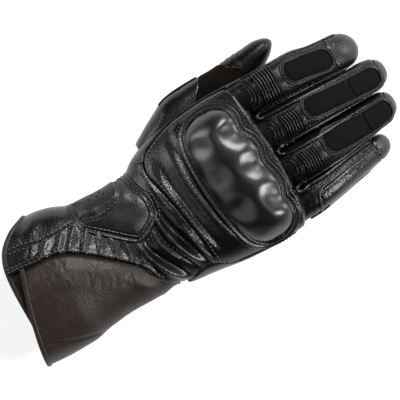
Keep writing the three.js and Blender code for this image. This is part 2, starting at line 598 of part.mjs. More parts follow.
const upperFlap = flapAll.intersect(prism(flapPlan, SIDE_SEAM_Z - 5)).subtract(prism(grown(lowPlan, GAP)));
add("cuff_flap", upperFlap, MATERIALS.flap_leather);
const lowerFlap = flapAll.intersect(prism(underPlan, -FAR, SIDE_SEAM_Z - 5 - GAP).add(prism(lowPlan, 0)));
add("cuff_flap_under", lowerFlap, MATERIALS.flap_leather);
const flapBindingRing = tube(BODY, bindingStations, BODY_PLAIN, FLAP_LIFT + WALL + BINDING_LIFT)
  .subtract(tube(BODY, bindingStations, BODY_PLAIN, FLAP_LIFT));
const flapEdge = prism([[-6, -FAR], [-6, 0], [FAR, 0], [FAR, -FAR]], SIDE_SEAM_Z - 5)
  .add(prism(underPlan, -FAR, SIDE_SEAM_Z - 4));
const flapHemStrip = strip(FLAP_HEM, BINDING_WIDTH);
add("flap_binding", flapBindingRing.intersect(flapEdge).intersect(flapHemStrip), MATERIALS.flap_leather);

// Fingers: hollow tubes that stand on the front of the hand, each with a tip cap beyond a cross seam
for (const cap of CAPS) {
  const outer = tube(cap.form, withTip(FINGER_STATIONS, cap.form, 0, 3), FINGER_SIDES, 0);
  const finger = outer.subtract(hollow(cap.form)).subtract(grownBody);
  add(cap.finger, finger.subtract(aheadOf(cap.seamY)), MATERIALS.leather);
  add(cap.name, finger.intersect(aheadOf(cap.seamY + GAP)), MATERIALS.leather);
}

// Thumb: base, suede insert and tip, in a row
const thumb = thumbOuter.subtract(thumbInner).subtract(grownBody).subtract(bodyPlain(GAP));
const across = (y0, y1) => prism([[-FAR, y0], [FAR, y0], [FAR, y1], [-FAR, y1]]);
add("thumb_base", thumb.intersect(across(-FAR, THUMB_SEAMS.base)), MATERIALS.leather);
add("thumb_insert", thumb.intersect(across(THUMB_SEAMS.base + GAP, THUMB_SEAMS.insert)), MATERIALS.palm_suede);
add("thumb_tip", thumb.intersect(across(THUMB_SEAMS.insert + GAP, FAR)), MATERIALS.leather);

// Knuckle guard: a hard moulded dome with four bumps along its front edge
const guardOutline = smoothOutline(GUARD_OUTLINE, GUARD.sectors);
const guardLift = (x, y, share) => {
  const dome = (1 - share ** GUARD.power) ** (1 / 2);
  const bumps = KNUCKLES.reduce((sum, k) =>
    sum + k.height * Math.exp(-(((x - k.x) / KNUCKLE_RADIUS.across) ** 2) - ((y - k.y) / KNUCKLE_RADIUS.along) ** 2), 0);
  return GUARD.edgeLift + (GUARD.height + bumps) * dome;
};
add("knuckle_guard", plate(BODY, guardOutline, GUARD, guardLift), MATERIALS.guard_shell);
const pipingCurve = (outline, height) => new THREE.CatmullRomCurve3(
  grown(outline, 1.6).map(([x, y]) => above(BODY, x, y, height)), true);
const PIPING = { radius: 1.1, sides: 4, steps: 34, lift: 1.8 };
add("guard_piping", solidOf(new THREE.TubeGeometry(pipingCurve(smoothOutline(GUARD_OUTLINE, 40), PIPING.lift),
  PIPING.steps, PIPING.radius, PIPING.sides, true)), MATERIALS.leather);

// Wrist pad: padded leather with a sewn channel across it
const padOutline = smoothOutline(WRIST_PAD_OUTLINE, WRIST_PAD.sectors);
const padLift = (x, y, share) => {
  const puff = WRIST_PAD.edge + (WRIST_PAD.thick - WRIST_PAD.edge) * (1 - share ** 4);
  const channel = Math.exp(-((distanceTo(WRIST_PAD_CHANNEL, x, y) / WRIST_PAD.channelHalfWidth) ** 2));
  return puff - WRIST_PAD.channelDepth * channel * (1 - share ** 4);
};
add("wrist_pad", plate(BODY, padOutline, WRIST_PAD, padLift), MATERIALS.leather);

// Textile pads of the fingers
for (const pad of TEXTILE_PADS) {
  const centre = (y) => pad.x0 + ((pad.x1 - pad.x0) * (y - pad.y0)) / (pad.y1 - pad.y0);
  const middleY = (pad.y0 + pad.y1) / 2;
  const halfY = (pad.y1 - pad.y0) / 2;
  const outline = Array.from({ length: TEXTILE.sectors }, (_, k) => {
    const angle = (2 * Math.PI * k) / TEXTILE.sectors;
    const round = (v) => Math.sign(v) * Math.abs(v) ** 0.4;
    const y = middleY + halfY * round(Math.sin(angle));
    return [centre(y) + pad.half * round(Math.cos(angle)), y];
  });
  const lift = (x, y, share) => TEXTILE.thick + TEXTILE.crown * (1 - share ** 2);
  add(pad.name, plate(pad.form, outline, TEXTILE, lift), MATERIALS.textile);
}

// Stretch ribs over the finger joints, and the leather panel outside the little finger
for (const piece of PATCHES) add(piece.name, patch(piece), MATERIALS.leather);

// Piping between the roots of the fingers, cut clear of the leather that it is sewn to
for (const { name, left, right, plan } of CROTCHES) {
  const { radius, sides, steps, lift } = CROTCH_PIPING;
  const near = (y) => [BODY, left, right].filter((form) => y < form.tipY);
  const highest = (x, y) => Math.max(...near(y).map((form) => topZ(form, x, y, 0)));
  const curve = new THREE.CatmullRomCurve3(plan.map(([x, y]) => new THREE.Vector3(x, y, highest(x, y) + lift)));
  const points = curve.getSpacedPoints(steps);
  const rings = points.map((point, i) => {
    const ahead = points[Math.min(steps, i + 1)].clone().sub(points[Math.max(0, i - 1)]).normalize();
    const across = new THREE.Vector3(0, 0, 1).cross(ahead).normalize();
    const up = across.clone().cross(ahead);
    return Array.from({ length: sides }, (_, k) => {
      const angle = (2 * Math.PI * k) / sides;
      const sideways = across.clone().multiplyScalar(radius * Math.cos(angle));
      return sideways.addScaledVector(up, radius * Math.sin(angle)).add(point);
    });
  });
  let piping = solidOf(ringsToGeometry(rings)).subtract(grownBody);
  for (const form of [left, right]) piping = piping.subtract(tube(form, FINGER_STATIONS, FINGER_SIDES, GAP));
  add(name, piping, MATERIALS.leather);
}

// The origin is under the middle of the glove's box, on the surface that it rests on.
const middle = new THREE.Box3().setFromObject(glove).getCenter(new THREE.Vector3());
glove.position.set(-middle.x, -middle.y, 0);

export default glove;
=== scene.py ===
import math

import bpy
import numpy as np
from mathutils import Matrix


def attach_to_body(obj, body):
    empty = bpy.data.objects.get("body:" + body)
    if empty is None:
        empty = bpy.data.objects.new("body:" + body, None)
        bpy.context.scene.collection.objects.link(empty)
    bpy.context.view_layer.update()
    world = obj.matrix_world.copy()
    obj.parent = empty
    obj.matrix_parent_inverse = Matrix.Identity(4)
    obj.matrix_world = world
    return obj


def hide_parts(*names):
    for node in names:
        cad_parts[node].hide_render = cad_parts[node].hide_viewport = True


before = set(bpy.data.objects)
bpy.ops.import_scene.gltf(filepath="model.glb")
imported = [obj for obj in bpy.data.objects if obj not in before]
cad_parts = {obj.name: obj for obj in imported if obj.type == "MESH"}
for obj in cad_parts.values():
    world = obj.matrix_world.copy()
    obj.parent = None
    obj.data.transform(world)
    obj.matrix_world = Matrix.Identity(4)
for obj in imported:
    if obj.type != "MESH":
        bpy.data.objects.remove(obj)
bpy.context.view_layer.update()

MM = 0.001

# Camera, light and floor.
# The camera looks straight down on the back of the glove. Two strong soft boxes at the upper right and the
# lower right throw the highlights on the knuckles and the folds. The weaker boxes give the dark sides and the
# flat leather a sheen.
VIEW_WIDTH = 264 * MM
VIEW_CENTRE = (10.4 * MM, -5.3 * MM)
VIEW_LEVEL = 30 * MM  # the height at which the view is VIEW_WIDTH wide
CAMERA_DISTANCE = 5.0
CAMERA_TURN = math.radians(60)


def add_object(name, data):
    """A new object in the scene, at the origin."""
    added = bpy.data.objects.new(name, data)
    bpy.context.collection.objects.link(added)
    return added


def new_material(name):
    """A new material, its nodes, its links and its shader."""
    material = bpy.data.materials.new(name)
    material.use_nodes = True
    tree = material.node_tree
    return material, tree.nodes, tree.links, tree.nodes["Principled BSDF"]


camera_data = bpy.data.cameras.new("camera")
camera_data.angle = 2 * math.atan(VIEW_WIDTH / 2 / CAMERA_DISTANCE)
camera = add_object("camera", camera_data)
camera.location = (*VIEW_CENTRE, VIEW_LEVEL + CAMERA_DISTANCE)
camera.rotation_euler = (0, 0, CAMERA_TURN)
bpy.context.scene.camera = camera
bpy.context.scene.view_settings.view_transform = "Standard"

# Each soft box: the side of the picture it stands on, in degrees from the picture's right, its height above
# the floor in degrees, its distance and size in metres and its power in watts.
SOFT_BOXES = [
    {"name": "upper_right_box", "side": 68, "height": 38, "distance": 1.1, "size": (0.44, 0.6), "power": 16},
    {"name": "lower_right_box", "side": -8, "height": 38, "distance": 1.1, "size": (0.34, 0.5), "power": 13},
    {"name": "tip_box", "side": 30, "height": 9, "distance": 1.1, "size": (0.5, 0.24), "power": 4},
    {"name": "thumb_side_box", "side": 160, "height": 30, "distance": 1.1, "size": (0.6, 0.6), "power": 6.5},
    {"name": "cuff_box", "side": 212, "height": 44, "distance": 1.1, "size": (0.9, 0.5), "power": 1.8},
    {"name": "top_box", "side": 84, "height": 76, "distance": 1.1, "size": (0.8, 0.36), "power": 0.7},
]
for box in SOFT_BOXES:
    light = bpy.data.lights.new(box["name"], "AREA")
    light.shape = "RECTANGLE"
    light.size, light.size_y = box["size"]
    light.energy = box["power"]
    lamp = add_object(box["name"], light)
    turn = CAMERA_TURN + math.radians(box["side"])
    tilt = math.radians(90 - box["height"])
    reach = box["distance"] * math.sin(tilt)
    lamp.location = (
        VIEW_CENTRE[0] + reach * math.cos(turn),
        VIEW_CENTRE[1] + reach * math.sin(turn),
        box["distance"] * math.cos(tilt),
    )
    lamp.rotation_euler = (tilt, 0, turn + math.radians(90))

world = bpy.data.worlds.new("studio")
world.use_nodes = True
world.node_tree.nodes["Background"].inputs["Color"].default_value = (1, 1, 1, 1)
world.node_tree.nodes["Background"].inputs["Strength"].default_value = 0.01
bpy.context.scene.world = world

FLOOR_HALF = 1.6
FLOOR_CORNERS = [(-FLOOR_HALF, -FLOOR_HALF, 0), (FLOOR_HALF, -FLOOR_HALF, 0),
                 (FLOOR_HALF, FLOOR_HALF, 0), (-FLOOR_HALF, FLOOR_HALF, 0)]
floor_mesh = bpy.data.meshes.new("floor")
floor_mesh.from_pydata(FLOOR_CORNERS, [], [(0, 1, 2, 3)])
floor_material, _, _, floor_shader = new_material("pale_floor")
floor_shader.inputs["Base Color"].default_value = (0.45, 0.45, 0.45, 1)
floor_shader.inputs["Roughness"].default_value = 0.9
floor_shader.inputs["Emission Color"].default_value = (1, 1, 1, 1)
floor_shader.inputs["Emission Strength"].default_value = 0.7
floor_mesh.materials.append(floor_material)
floor = add_object("floor", floor_mesh)

# Palm of the hand.
# Smooth cowhide, cut in one piece from the seam over the thumb to the seam under the little finger and closed
# between the roots of the fingers. The hand lies on it, so it is pressed flat underneath.
LEATHER_THICKNESS = 1.5
SEAM_ROLL = {"width": 1.7, "depth": 0.85}  # a panel's edge turns down into its seam
UNDER_STEP = 1.6

# Hand and cuff, a stack of oval slices across Y, in millimetres. Columns: y, left, right, bottom, top, power
# of the oval, and the height at which leather that rests on something is pressed flat.
HAND = {
    "tip_y": 58,
    "tip_length": 9,
    "tip_power": 2.5,
    "rows": np.array([
        (-150, -40, 52, -1.5, 55, 2.3, 3),
        (-128, -39.5, 53.5, -1.5, 55, 2.3, 3),
        (-112, -38.5, 53.5, -1.5, 54, 2.3, 3),
        (-96, -36, 50.5, -1.5, 51, 2.3, 3),
        (-80, -29, 49, -1.5, 47.5, 2.3, 3),
        (-62, -26, 49.2, -1.3, 44.5, 2.3, 3),
        (-45, -27, 51, -1.2, 44, 2.35, 3),
        (-30, -36, 54.2, -2.6, 46, 2.4, 0.8),
        (-12, -43, 57, -3.2, 48, 2.4, 0),
        (8, -46, 59.8, -2, 49, 2.5, 0),
        (28, -47, 60.4, 5, 49, 2.7, 0),
        (42, -47, 60, 11, 48.5, 2.9, 0),
        (51, -46.5, 58.5, 20, 48, 3, 0),
        (58, -46, 57.5, 22, 47.5, 3, 0),
    ], dtype=float),
}


def row_values(rows, y):
    """Every column of a table at y, on smooth lines through its rows that never overshoot them."""
    ys, columns = rows[:, 0], rows[:, 1:]
    slope = np.diff(columns, axis=0) / np.diff(ys)[:, None]
    before, after = slope[:-1], slope[1:]
    total = np.where(before + after == 0, 1, before + after)
    inner = np.where(before * after > 0, 2 * before * after / total, 0)
    tangent = np.vstack([slope[:1], inner, slope[-1:]])
    y = np.clip(np.asarray(y, dtype=float), ys[0], ys[-1])
    i = np.clip(np.searchsorted(ys, y, side="right") - 1, 0, len(ys) - 2)
    span = np.diff(ys)[i][..., None]
    t = (y[..., None] - ys[i][..., None]) / span
    ease = span * t * (1 - t)
    rise = (columns[i + 1] - columns[i]) * t * t * (3 - 2 * t)
    return columns[i] + rise + ease * ((1 - t) * tangent[i] - t * tangent[i + 1])


def oval(form, y, lift=0.0):
    """Middle x and z, half width, half height, power and rest height of a form's slices at y."""
    y = np.asarray(y, dtype=float)
    past = np.maximum(0, y - (form["tip_y"] - form["tip_length"])) / (form["tip_length"] + lift)
    round_off = np.maximum(0, 1 - past ** form["tip_power"]) ** (1 / form["tip_power"])
    values = np.moveaxis(row_values(form["rows"], y), -1, 0)
    if form is HAND:
        left, right, bottom, top, power, rest = values
        wide, high = (right - left) / 2 + lift, (top - bottom) / 2 + lift
        return (left + right) / 2, (bottom + top) / 2, wide, high * round_off, power, rest
    x, z, wide, high = values
    return x, z, (wide + lift) * round_off, (high + lift) * round_off, np.full_like(x, 2.2), np.zeros_like(x)


def skin(form, angle, y, lift=0.0):
    """Points of a form's surface. Angle 0 is the little finger's side and a quarter turn is the top."""
    x, z, wide, high, power, rest = oval(form, y, lift)
    c, s = np.cos(angle), np.sin(angle)
    reach = (np.abs(c) ** power + np.abs(s) ** power) ** (-1 / power)
    height = np.maximum(z + high * s * reach, np.maximum(rest - lift, 0))
    return np.stack(np.broadcast_arrays(x + wide * c * reach, y, height), axis=-1)


def angle_over(form, x, y):
    """The angle of a form's top over a point in plan."""
    middle, _, wide, _, power, _ = oval(form, y)
    side = np.clip((x - middle) / wide, -1, 1)
    return np.arctan2((1 - np.abs(side) ** power) ** (1 / power), side)


def angle_at_height(form, z, y, side):
    """The angle at a height on the little finger's side (1) or the thumb's side (-1)."""
    _, middle, _, high, power, _ = oval(form, y)
    share = np.clip((z - middle) / high, -1, 1)
    return np.arctan2(share, side * (1 - np.abs(share) ** power) ** (1 / power))


def smooth_line(points, count):
    """Evenly spaced points on a smooth line through a few."""
    points = np.asarray(points, dtype=float)
    padded = np.vstack([2 * points[0] - points[1], points, 2 * points[-1] - points[-2]])
    steps = np.linspace(0, 1, 24, endpoint=False)[:, None]
    pieces = []
    for a, b, c, d in zip(padded, padded[1:], padded[2:], padded[3:]):
        near = np.linalg.norm(c - b)
        m0 = (c - a) * near / max(1e-6, np.linalg.norm(b - a) + near)
        m1 = (d - b) * near / max(1e-6, np.linalg.norm(d - c) + near)
        t = steps
        pieces.append((2 * t**3 - 3 * t**2 + 1) * b + (t**3 - 2 * t**2 + t) * m0
                      + (3 * t**2 - 2 * t**3) * c + (t**3 - t**2) * m1)
    dense = np.vstack([*pieces, points[-1:]])
    return evenly(dense, count)


def evenly(points, count):
    """The same line with evenly spaced points."""
    points = np.asarray(points, dtype=float)
    gone = np.concatenate([[0], np.cumsum(np.linalg.norm(np.diff(points, axis=0), axis=1))])
    wanted = np.linspace(0, gone[-1], count)
    return np.stack([np.interp(wanted, gone, column) for column in points.T], axis=-1)


def on_top(form, plan):
    """Plan points as (angle, y) on a form's top."""
    plan = np.asarray(plan, dtype=float)
    return np.stack([angle_over(form, plan[:, 0], plan[:, 1]), plan[:, 1]], axis=-1)


def at_height(form, z, y0, y1, side, count=160):
    """A level line along the side of a form, as (angle, y)."""
    y = np.linspace(y0, y1, count)
    return np.stack([angle_at_height(form, z, y, side), y], axis=-1)


def net_between(back, front, left, right, across, lengthways):
    """A net of (angle, y) between four edges. It runs from left to right and from back to front."""
    u = np.linspace(0, 1, across)[None, :, None]
    v = np.linspace(0, 1, lengthways)[:, None, None]
    b, f = evenly(back, across)[None], evenly(front, across)[None]
    l, r = evenly(left, lengthways)[:, None], evenly(right, lengthways)[:, None]
    rear_corners = (1 - v) * ((1 - u) * b[:, :1] + u * b[:, -1:])
    front_corners = v * ((1 - u) * f[:, :1] + u * f[:, -1:])
    return (1 - v) * b + v * f + (1 - u) * l + u * r - rear_corners - front_corners


def step_in(value, low, high):
    """0 below low, 1 above high, and a smooth rise between them."""
    t = np.clip((value - low) / (high - low), 0, 1)
    return t * t * (3 - 2 * t)


def net_faces(rows, columns, closed=False):
    """Quads of a net whose columns run to the right and whose rows run to the front, facing up."""
    i, k = np.meshgrid(np.arange(rows - 1), np.arange(columns if closed else columns - 1), indexing="ij")
    after = (k + 1) % columns
    here, ahead = i * columns, (i + 1) * columns
    return np.stack([here + k, here + after, ahead + after, ahead + k], -1).reshape(-1, 4).tolist()


def make_piece(name, points, faces, material, thickness=0.0):
    """A smooth mesh object from points in millimetres, with a wall's thickness added on its inside."""
    mesh = bpy.data.meshes.new(name)
    mesh.from_pydata((np.asarray(points).reshape(-1, 3) * MM).tolist(), [], faces)
    mesh.materials.append(material)
    piece = add_object(name, mesh)
    if thickness:
        add_wall(piece, thickness)
        settle(piece)
    piece.data.shade_smooth()
    return piece


def add_wall(piece, thickness):
    """A wall's thickness in millimetres on the inside of a piece."""
    wall = piece.modifiers.new("wall", "SOLIDIFY")
    wall.thickness = thickness * MM
    wall.offset = -1


def settle(piece):
    """Turns what a piece's modifiers make into its plain mesh."""
    evaluated = piece.evaluated_get(bpy.context.evaluated_depsgraph_get())
    mesh = bpy.data.meshes.new_from_object(evaluated)
    piece.modifiers.clear()
    piece.data = mesh


def attach(piece, slot, *nodes):
    """Fixes a piece to the glove, in the place of the plain solids. The slot is not used."""
    if nodes:
        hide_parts(*nodes)
    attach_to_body(piece, "root")
    return piece


def edge_distance(points, edges):
    """Distance from each point of a net to the nearest edge point."""
    flat = points.reshape(-1, points.shape[-1])
    best = np.full(len(flat), np.inf)
    for start in range(0, len(edges), 64):
        part = edges[start:start + 64]
        best = np.minimum(best, ((flat[:, None] - part[None]) ** 2).sum(-1).min(1))
    return np.sqrt(best).reshape(points.shape[:-1])


PANEL_EDGES = ("back", "front", "left", "right")


def panel_surface(form, net, relief, roll=SEAM_ROLL, rolled=PANEL_EDGES):
    """Points of a leather panel: the form, its own relief, and its edges turned down into the seams."""
    angle, y = net[..., 0], net[..., 1]
    flat = skin(form, angle, y)
    borders = {"back": flat[0], "front": flat[-1], "left": flat[:, 0], "right": flat[:, -1]}
    lift = relief(flat[..., 0], y, angle)
    if rolled:
        gap = edge_distance(flat, np.vstack([borders[side] for side in rolled]))
        lift = lift - roll["depth"] * np.sqrt(np.clip(1 - gap / roll["width"], 0, 1))**3
    return skin(form, angle, y, lift)


RANDOM = np.random.default_rng(7)
# Waves that cross each other: the pace, the heading and the start of each, in radians.
WAVE_LIMITS = [(0.09, 0.42), (0, 2 * math.pi), (0, 6.3)]
WAVES = [[RANDOM.uniform(*limits) for limits in WAVE_LIMITS] for _ in range(22)]


def unevenness(x, y):
    """The slight waviness of worn leather, about 1 high."""
    total = 0
    for pace, heading, start in WAVES:
        total = total + np.sin(pace * (x * math.cos(heading) + y * math.sin(heading)) + start)
    return total / math.sqrt(len(WAVES))


def add_noise(nodes, links, place, scale, detail):
    node = nodes.new("ShaderNodeTexNoise")
    node.inputs["Scale"].default_value = scale
    node.inputs["Detail"].default_value = detail
    links.new(place, node.inputs["Vector"])
    return node.outputs["Fac"]


def add_range(nodes, links, value, low, high, span=(0.32, 0.68)):
    """A value of a noise spread from low to high."""
    node = nodes.new("ShaderNodeMapRange")
    node.inputs["From Min"].default_value = span[0]
    node.inputs["From Max"].default_value = span[1]
    node.inputs["To Min"].default_value = low
    node.inputs["To Max"].default_value = high
    links.new(value, node.inputs["Value"])
    return node.outputs["Result"]


def add_bump(nodes, links, height, distance, strength, below=None):
    """The relief of a height, on top of the relief below it."""
    bump = nodes.new("ShaderNodeBump")
    bump.inputs["Strength"].default_value = strength
    bump.inputs["Distance"].default_value = distance
    links.new(height, bump.inputs["Height"])
    if below:
        links.new(below, bump.inputs["Normal"])
    return bump.outputs["Normal"]


def add_tint(nodes, links, shader, value, dark, light):
    """The shader's colour, from dark to light with a value."""
    tint = nodes.new("ShaderNodeMix")
    tint.data_type = "RGBA"
    tint.inputs["A"].default_value = (*dark, 1)
    tint.inputs["B"].default_value = (*light, 1)
    links.new(value, tint.inputs["Factor"])
    links.new(tint.outputs["Result"], shader.inputs["Base Color"])


def leather_material(name, dark, light, rough, specular, grain=0.00025, crease=0.0006, crease_size=55):
    """Grained leather: small pebbles, soft creases, uneven colour and polish."""
    material, nodes, links, shader = new_material(name)
    shader.inputs["Specular IOR Level"].default_value = specular
    place = nodes.new("ShaderNodeTexCoord").outputs["Object"]
    clouds = add_range(nodes, links, add_noise(nodes, links, place, 38, 4), 0, 1)
    add_tint(nodes, links, shader, clouds, dark, light)
    polish = add_range(nodes, links, add_noise(nodes, links, place, 65, 5), *rough)
    links.new(polish, shader.inputs["Roughness"])
    pebbles = nodes.new("ShaderNodeTexVoronoi")
    pebbles.feature = "SMOOTH_F1"
    pebbles.inputs["Scale"].default_value = 900
    pebbles.inputs["Smoothness"].default_value = 0.4
    links.new(place, pebbles.inputs["Vector"])
    relief = None
    for height, distance, strength in [
        (add_noise(nodes, links, place, crease_size, 4), crease, 0.3),
        (add_noise(nodes, links, place, crease_size * 5, 3), crease / 3, 0.38),
        (pebbles.outputs["Distance"], grain, 0.6),
    ]:
        relief = add_bump(nodes, links, height, distance, strength, relief)
    links.new(relief, shader.inputs["Normal"])
    return material


def palm_relief(x, y, angle):
    """The palm's own relief. The angle isn't used here, but other panels' reliefs read it."""
    return 0.16 * unevenness(x, y)


# The seam over the thumb, as the angle that it stands at. It climbs from the side of the wrist to the edge of
# the back.
THUMB_SIDE_SEAM = {"y": [-46, -38, -31, -26.2, -21.7, -13, -4.3, 5, 14, 30, 46, 58],
                   "degrees": [181, 179, 162, 141.4, 149.2, 152, 157.2, 159.1, 161.5, 161.9, 160.2, 160]}


def thumb_side_angle(y):
    return np.radians(np.interp(y, THUMB_SIDE_SEAM["y"], THUMB_SIDE_SEAM["degrees"]))


black_leather = leather_material("black_leather", (0.0008, 0.0007, 0.0008), (0.0026, 0.0023, 0.0023),
                                 rough=(0.25, 0.34), specular=0.38)
LITTLE_SIDE_Z = 25
LITTLE_SIDE_HIGHEST = 0.1  # the highest angle of that seam, in radians
CUFF_JOIN_Y = -44
HAND_ROUND_START = HAND["tip_y"] - HAND["tip_length"]
HAND_ROUND_LENGTH = 8.97  # the panels stop just short of where the rounded end closes
PALM_COLUMNS = 130


def little_side_angle(y):
    """The seam under the little finger. In front it stays beside the widest place."""
    return np.minimum(angle_at_height(HAND, LITTLE_SIDE_Z, y, 1), LITTLE_SIDE_HIGHEST)


def net_across(ys, first, last, columns):
    """A net of (angle, y) whose rows run straight across from one angle to another."""
    share = np.linspace(0, 1, columns)[None]
    angle = first[:, None] * (1 - share) + last[:, None] * share
    return np.stack([angle, np.broadcast_to(ys[:, None], angle.shape)], axis=-1)


palm_front_ys = HAND_ROUND_START + HAND_ROUND_LENGTH * np.sin(np.linspace(0, math.pi / 2, 12))
palm_ys = np.concatenate([np.arange(CUFF_JOIN_Y, HAND_ROUND_START - 0.5, UNDER_STEP), palm_front_ys])
palm_left = thumb_side_angle(palm_ys) - 2 * math.pi  # the same side, reached round the underside
palm_net = net_across(palm_ys, little_side_angle(palm_ys), palm_left, PALM_COLUMNS)
palm_points = panel_surface(HAND, palm_net, palm_relief, rolled=("back", "left", "right"))
hand_palm = make_piece("palm", palm_points, net_faces(*palm_net.shape[:2]), black_leather, LEATHER_THICKNESS)
attach(hand_palm, "leather", "hand_palm")

# Back of the hand.
# One large soft panel that carries the knuckle guard. It is sewn to the palm beside the thumb, to the wrist
# behind and to the fingers in front. Rows of stitches follow its seams at the wrist and the thumb.
TOP_STEP = 0.85
BACK_THUMB_SEAM = [(-29.7, -26.2), (-35, -21.7), (-42.1, -4.3), (-45.2, 14), (-46.1, 30), (-46, 46)]
BACK_WRIST_SEAM = [(-29.7, -26.2), (-23, -27.6), (-11.6, -25.7), (7.2, -21.3), (28, -18.1), (45, -16.6),
                   (56, -15)]
BACK_FRONT_SEAM = [(-46, 46), (-42, 51.4), (-32.8, 54), (-19.5, 54.4), (-8, 54.8), (6.5, 55.4), (21, 55),
                   (31.5, 54), (43, 53.4), (54, 51.2), (58.5, 48.4)]

# Soft folds: the line that each follows, its half width and its height. A negative height is a valley.
BACK_FOLDS = [
    ([(-36, -7), (-11, -8.5), (9.8, -6.8), (30, -3.3), (50, 2)], 3.2, 1.5),
    ([(-30, -15.6), (-10, -16.6), (8, -14.8), (26, -12.6), (47, -8)], 2.6, -1.3),
    ([(-34, -19), (-22, -23.6), (-10, -22.4), (8, -18.6), (28, -15.6), (50, -11)], 2.2, 1.0),
    ([(-36, 0), (-12, -2.4), (12, -0.6), (36, 3.4), (52, 9)], 2.0, -0.9),
    ([(-43.5, 8), (-35, 1.6), (-18.3, 0.4)], 2.4, 0.7),
]
# In front of the guard the panel rolls down into the finger roots from this line.
FRONT_ROLL = [(-46, 43), (-38, 47), (-28, 48), (-18.3, 48.6), (-8.7, 49.8), (0.6, 51.2), (11.2, 51.2),
              (20.4, 51.2), (30.4, 50.2), (42.2, 49.6), (52, 47.8), (60, 45)]
FRONT_DROP = {"depth": 3.2, "length": 4.5}
# A fold reaches this many half widths from its line. On its steeper side it has a dip, in half widths too.
FOLD_REACH = 3.2
FOLD_DIP = {"depth": 0.28, "place": -1.5, "half_width": 0.8}


def strokes(x, y, table):
    """Total height of folds that follow lines in plan. Each fades at both ends and is steeper on one side."""
    total = np.zeros_like(x)
    place = np.stack([x, y], axis=-1)
    for points, half_width, height in table:
        line = smooth_line(points, 28)
        reach = half_width * FOLD_REACH
        low, high = line.min(0) - reach, line.max(0) + reach
        near = (place > low).all(-1) & (place < high).all(-1)
        if not near.any():
            continue
        spot = place[near]
        start, ahead = line[:-1], np.diff(line, axis=0)
        length = np.linalg.norm(ahead, axis=1)
        offset = spot[:, None] - start[None]
        share = np.clip((offset * ahead).sum(-1) / length**2, 0, 1)
        gap = offset - share[..., None] * ahead
        distance = np.linalg.norm(gap, axis=-1)
        best = distance.argmin(1)
        pick = np.arange(len(spot))
        side = np.sign(ahead[best, 0] * gap[pick, best, 1] - ahead[best, 1] * gap[pick, best, 0])
        s = side * distance[pick, best] / half_width
        gone = (best + share[pick, best]) / len(start)
        fade = np.sin(np.pi * np.clip(gone, 0.001, 0.999)) ** 0.8
        dip = FOLD_DIP["depth"] * np.exp(-(((s - FOLD_DIP["place"]) / FOLD_DIP["half_width"]) ** 2))
        total[near] += height * fade * (np.exp(-s**2) - dip)
    return total


def back_relief(x, y, angle):
    past = y - np.interp(x, *np.transpose(FRONT_ROLL))
    drop = FRONT_DROP["depth"] * step_in(past, 0, FRONT_DROP["length"])
    return strokes(x, y, BACK_FOLDS) - drop + 0.2 * unevenness(x, y)


def hand_panel(name, form, back, front, left, right, relief, step, material, thickness, rolled=PANEL_EDGES,
               roll=SEAM_ROLL):
    """A leather panel between four edges given as (angle, y), cut into a net of about one step."""
    def length(edge):
        return np.linalg.norm(np.diff(skin(form, edge[:, 0], edge[:, 1]), axis=0), axis=1).sum()

    across = int(max(length(back), length(front)) / step) + 2
    lengthways = int(max(length(left), length(right)) / step) + 2
    net = net_between(back, front, left, right, across, lengthways)
    points = panel_surface(form, net, relief, roll, rolled)
    return make_piece(name, points, net_faces(lengthways, across), material, thickness)


hand_back = hand_panel(
    "back_leather", HAND,
    back=on_top(HAND, smooth_line(BACK_WRIST_SEAM, 200)),
    front=on_top(HAND, smooth_line(BACK_FRONT_SEAM, 200)),
    left=on_top(HAND, smooth_line(BACK_THUMB_SEAM, 200)),
    right=at_height(HAND, LITTLE_SIDE_Z, -15, 48, 1),
    relief=back_relief, step=TOP_STEP, material=black_leather, thickness=LEATHER_THICKNESS,
)
attach(hand_back, "leather", "hand_back")

# Knuckle yoke.
# The strip in front of the back panel, in the same leather. It is sewn in below the panel's rolled front and
# turns down between the roots of the fingers.
YOKE_SINK = 3.8
YOKE_COLUMNS = 180
yoke_front_ys = HAND_ROUND_START + HAND_ROUND_LENGTH * np.sin(np.linspace(0.66, math.pi / 2, 14))
yoke_ys = np.concatenate([[50.4], np.linspace(51.5, 54, 4), yoke_front_ys])
yoke_net = net_across(yoke_ys, thumb_side_angle(yoke_ys), little_side_angle(yoke_ys), YOKE_COLUMNS)
yoke_points = skin(HAND, yoke_net[..., 0], yoke_net[..., 1], -YOKE_SINK)
knuckle_yoke = make_piece("yoke_leather", yoke_points, net_faces(*yoke_net.shape[:2]), black_leather,
                          LEATHER_THICKNESS)
attach(knuckle_yoke, "leather", "knuckle_yoke")

# Wrist.
# The softest leather of the glove. It bunches into deep folds between the back of the hand and the cuff,
# where the wrist bends, and it is tucked under the cuff's flap and the wrist pad.
WRIST_FOLDS = [
    ([(18, -24.6), (28, -23.2), (39, -20.6), (51, -15.6)], 1.7, 2.2),
    ([(-8, -32.4), (4, -32.6), (14, -31.4), (26, -28.4), (38, -24.6), (49, -19)], 2.5, -3.2),
    ([(-3, -33), (4, -36), (12.2, -37), (22, -35.6), (34, -31.4), (47, -24.4)], 2.1, 2.7),
    ([(8, -41), (16, -41.2), (26, -39), (36, -34.4), (48, -28)], 1.2, -1.1),
    ([(12, -45), (24, -43.6), (38, -37.4)], 1.3, 0.7),
    ([(14, -50.6), (24, -49.6), (36, -44), (51, -34.6)], 2.0, -2.8),
    ([(8, -56), (18, -56), (28, -53), (40.7, -46.4), (49, -38.6), (53, -32)], 2.3, 3.2),
    ([(-26, -29.6), (-12, -28.8), (4, -26.6), (18, -23.8)], 1.1, 0.9),
]
WRIST_BACK_EDGE = [(-27.5, -46), (-14, -46), (0, -46), (9, -57), (28, -60), (41, -56), (51.3, -45)]
WRIST_RIGHT_EDGE = [(-6, -45), (-3, -30), (2, -15)]  # degrees and y, under the side of the hand
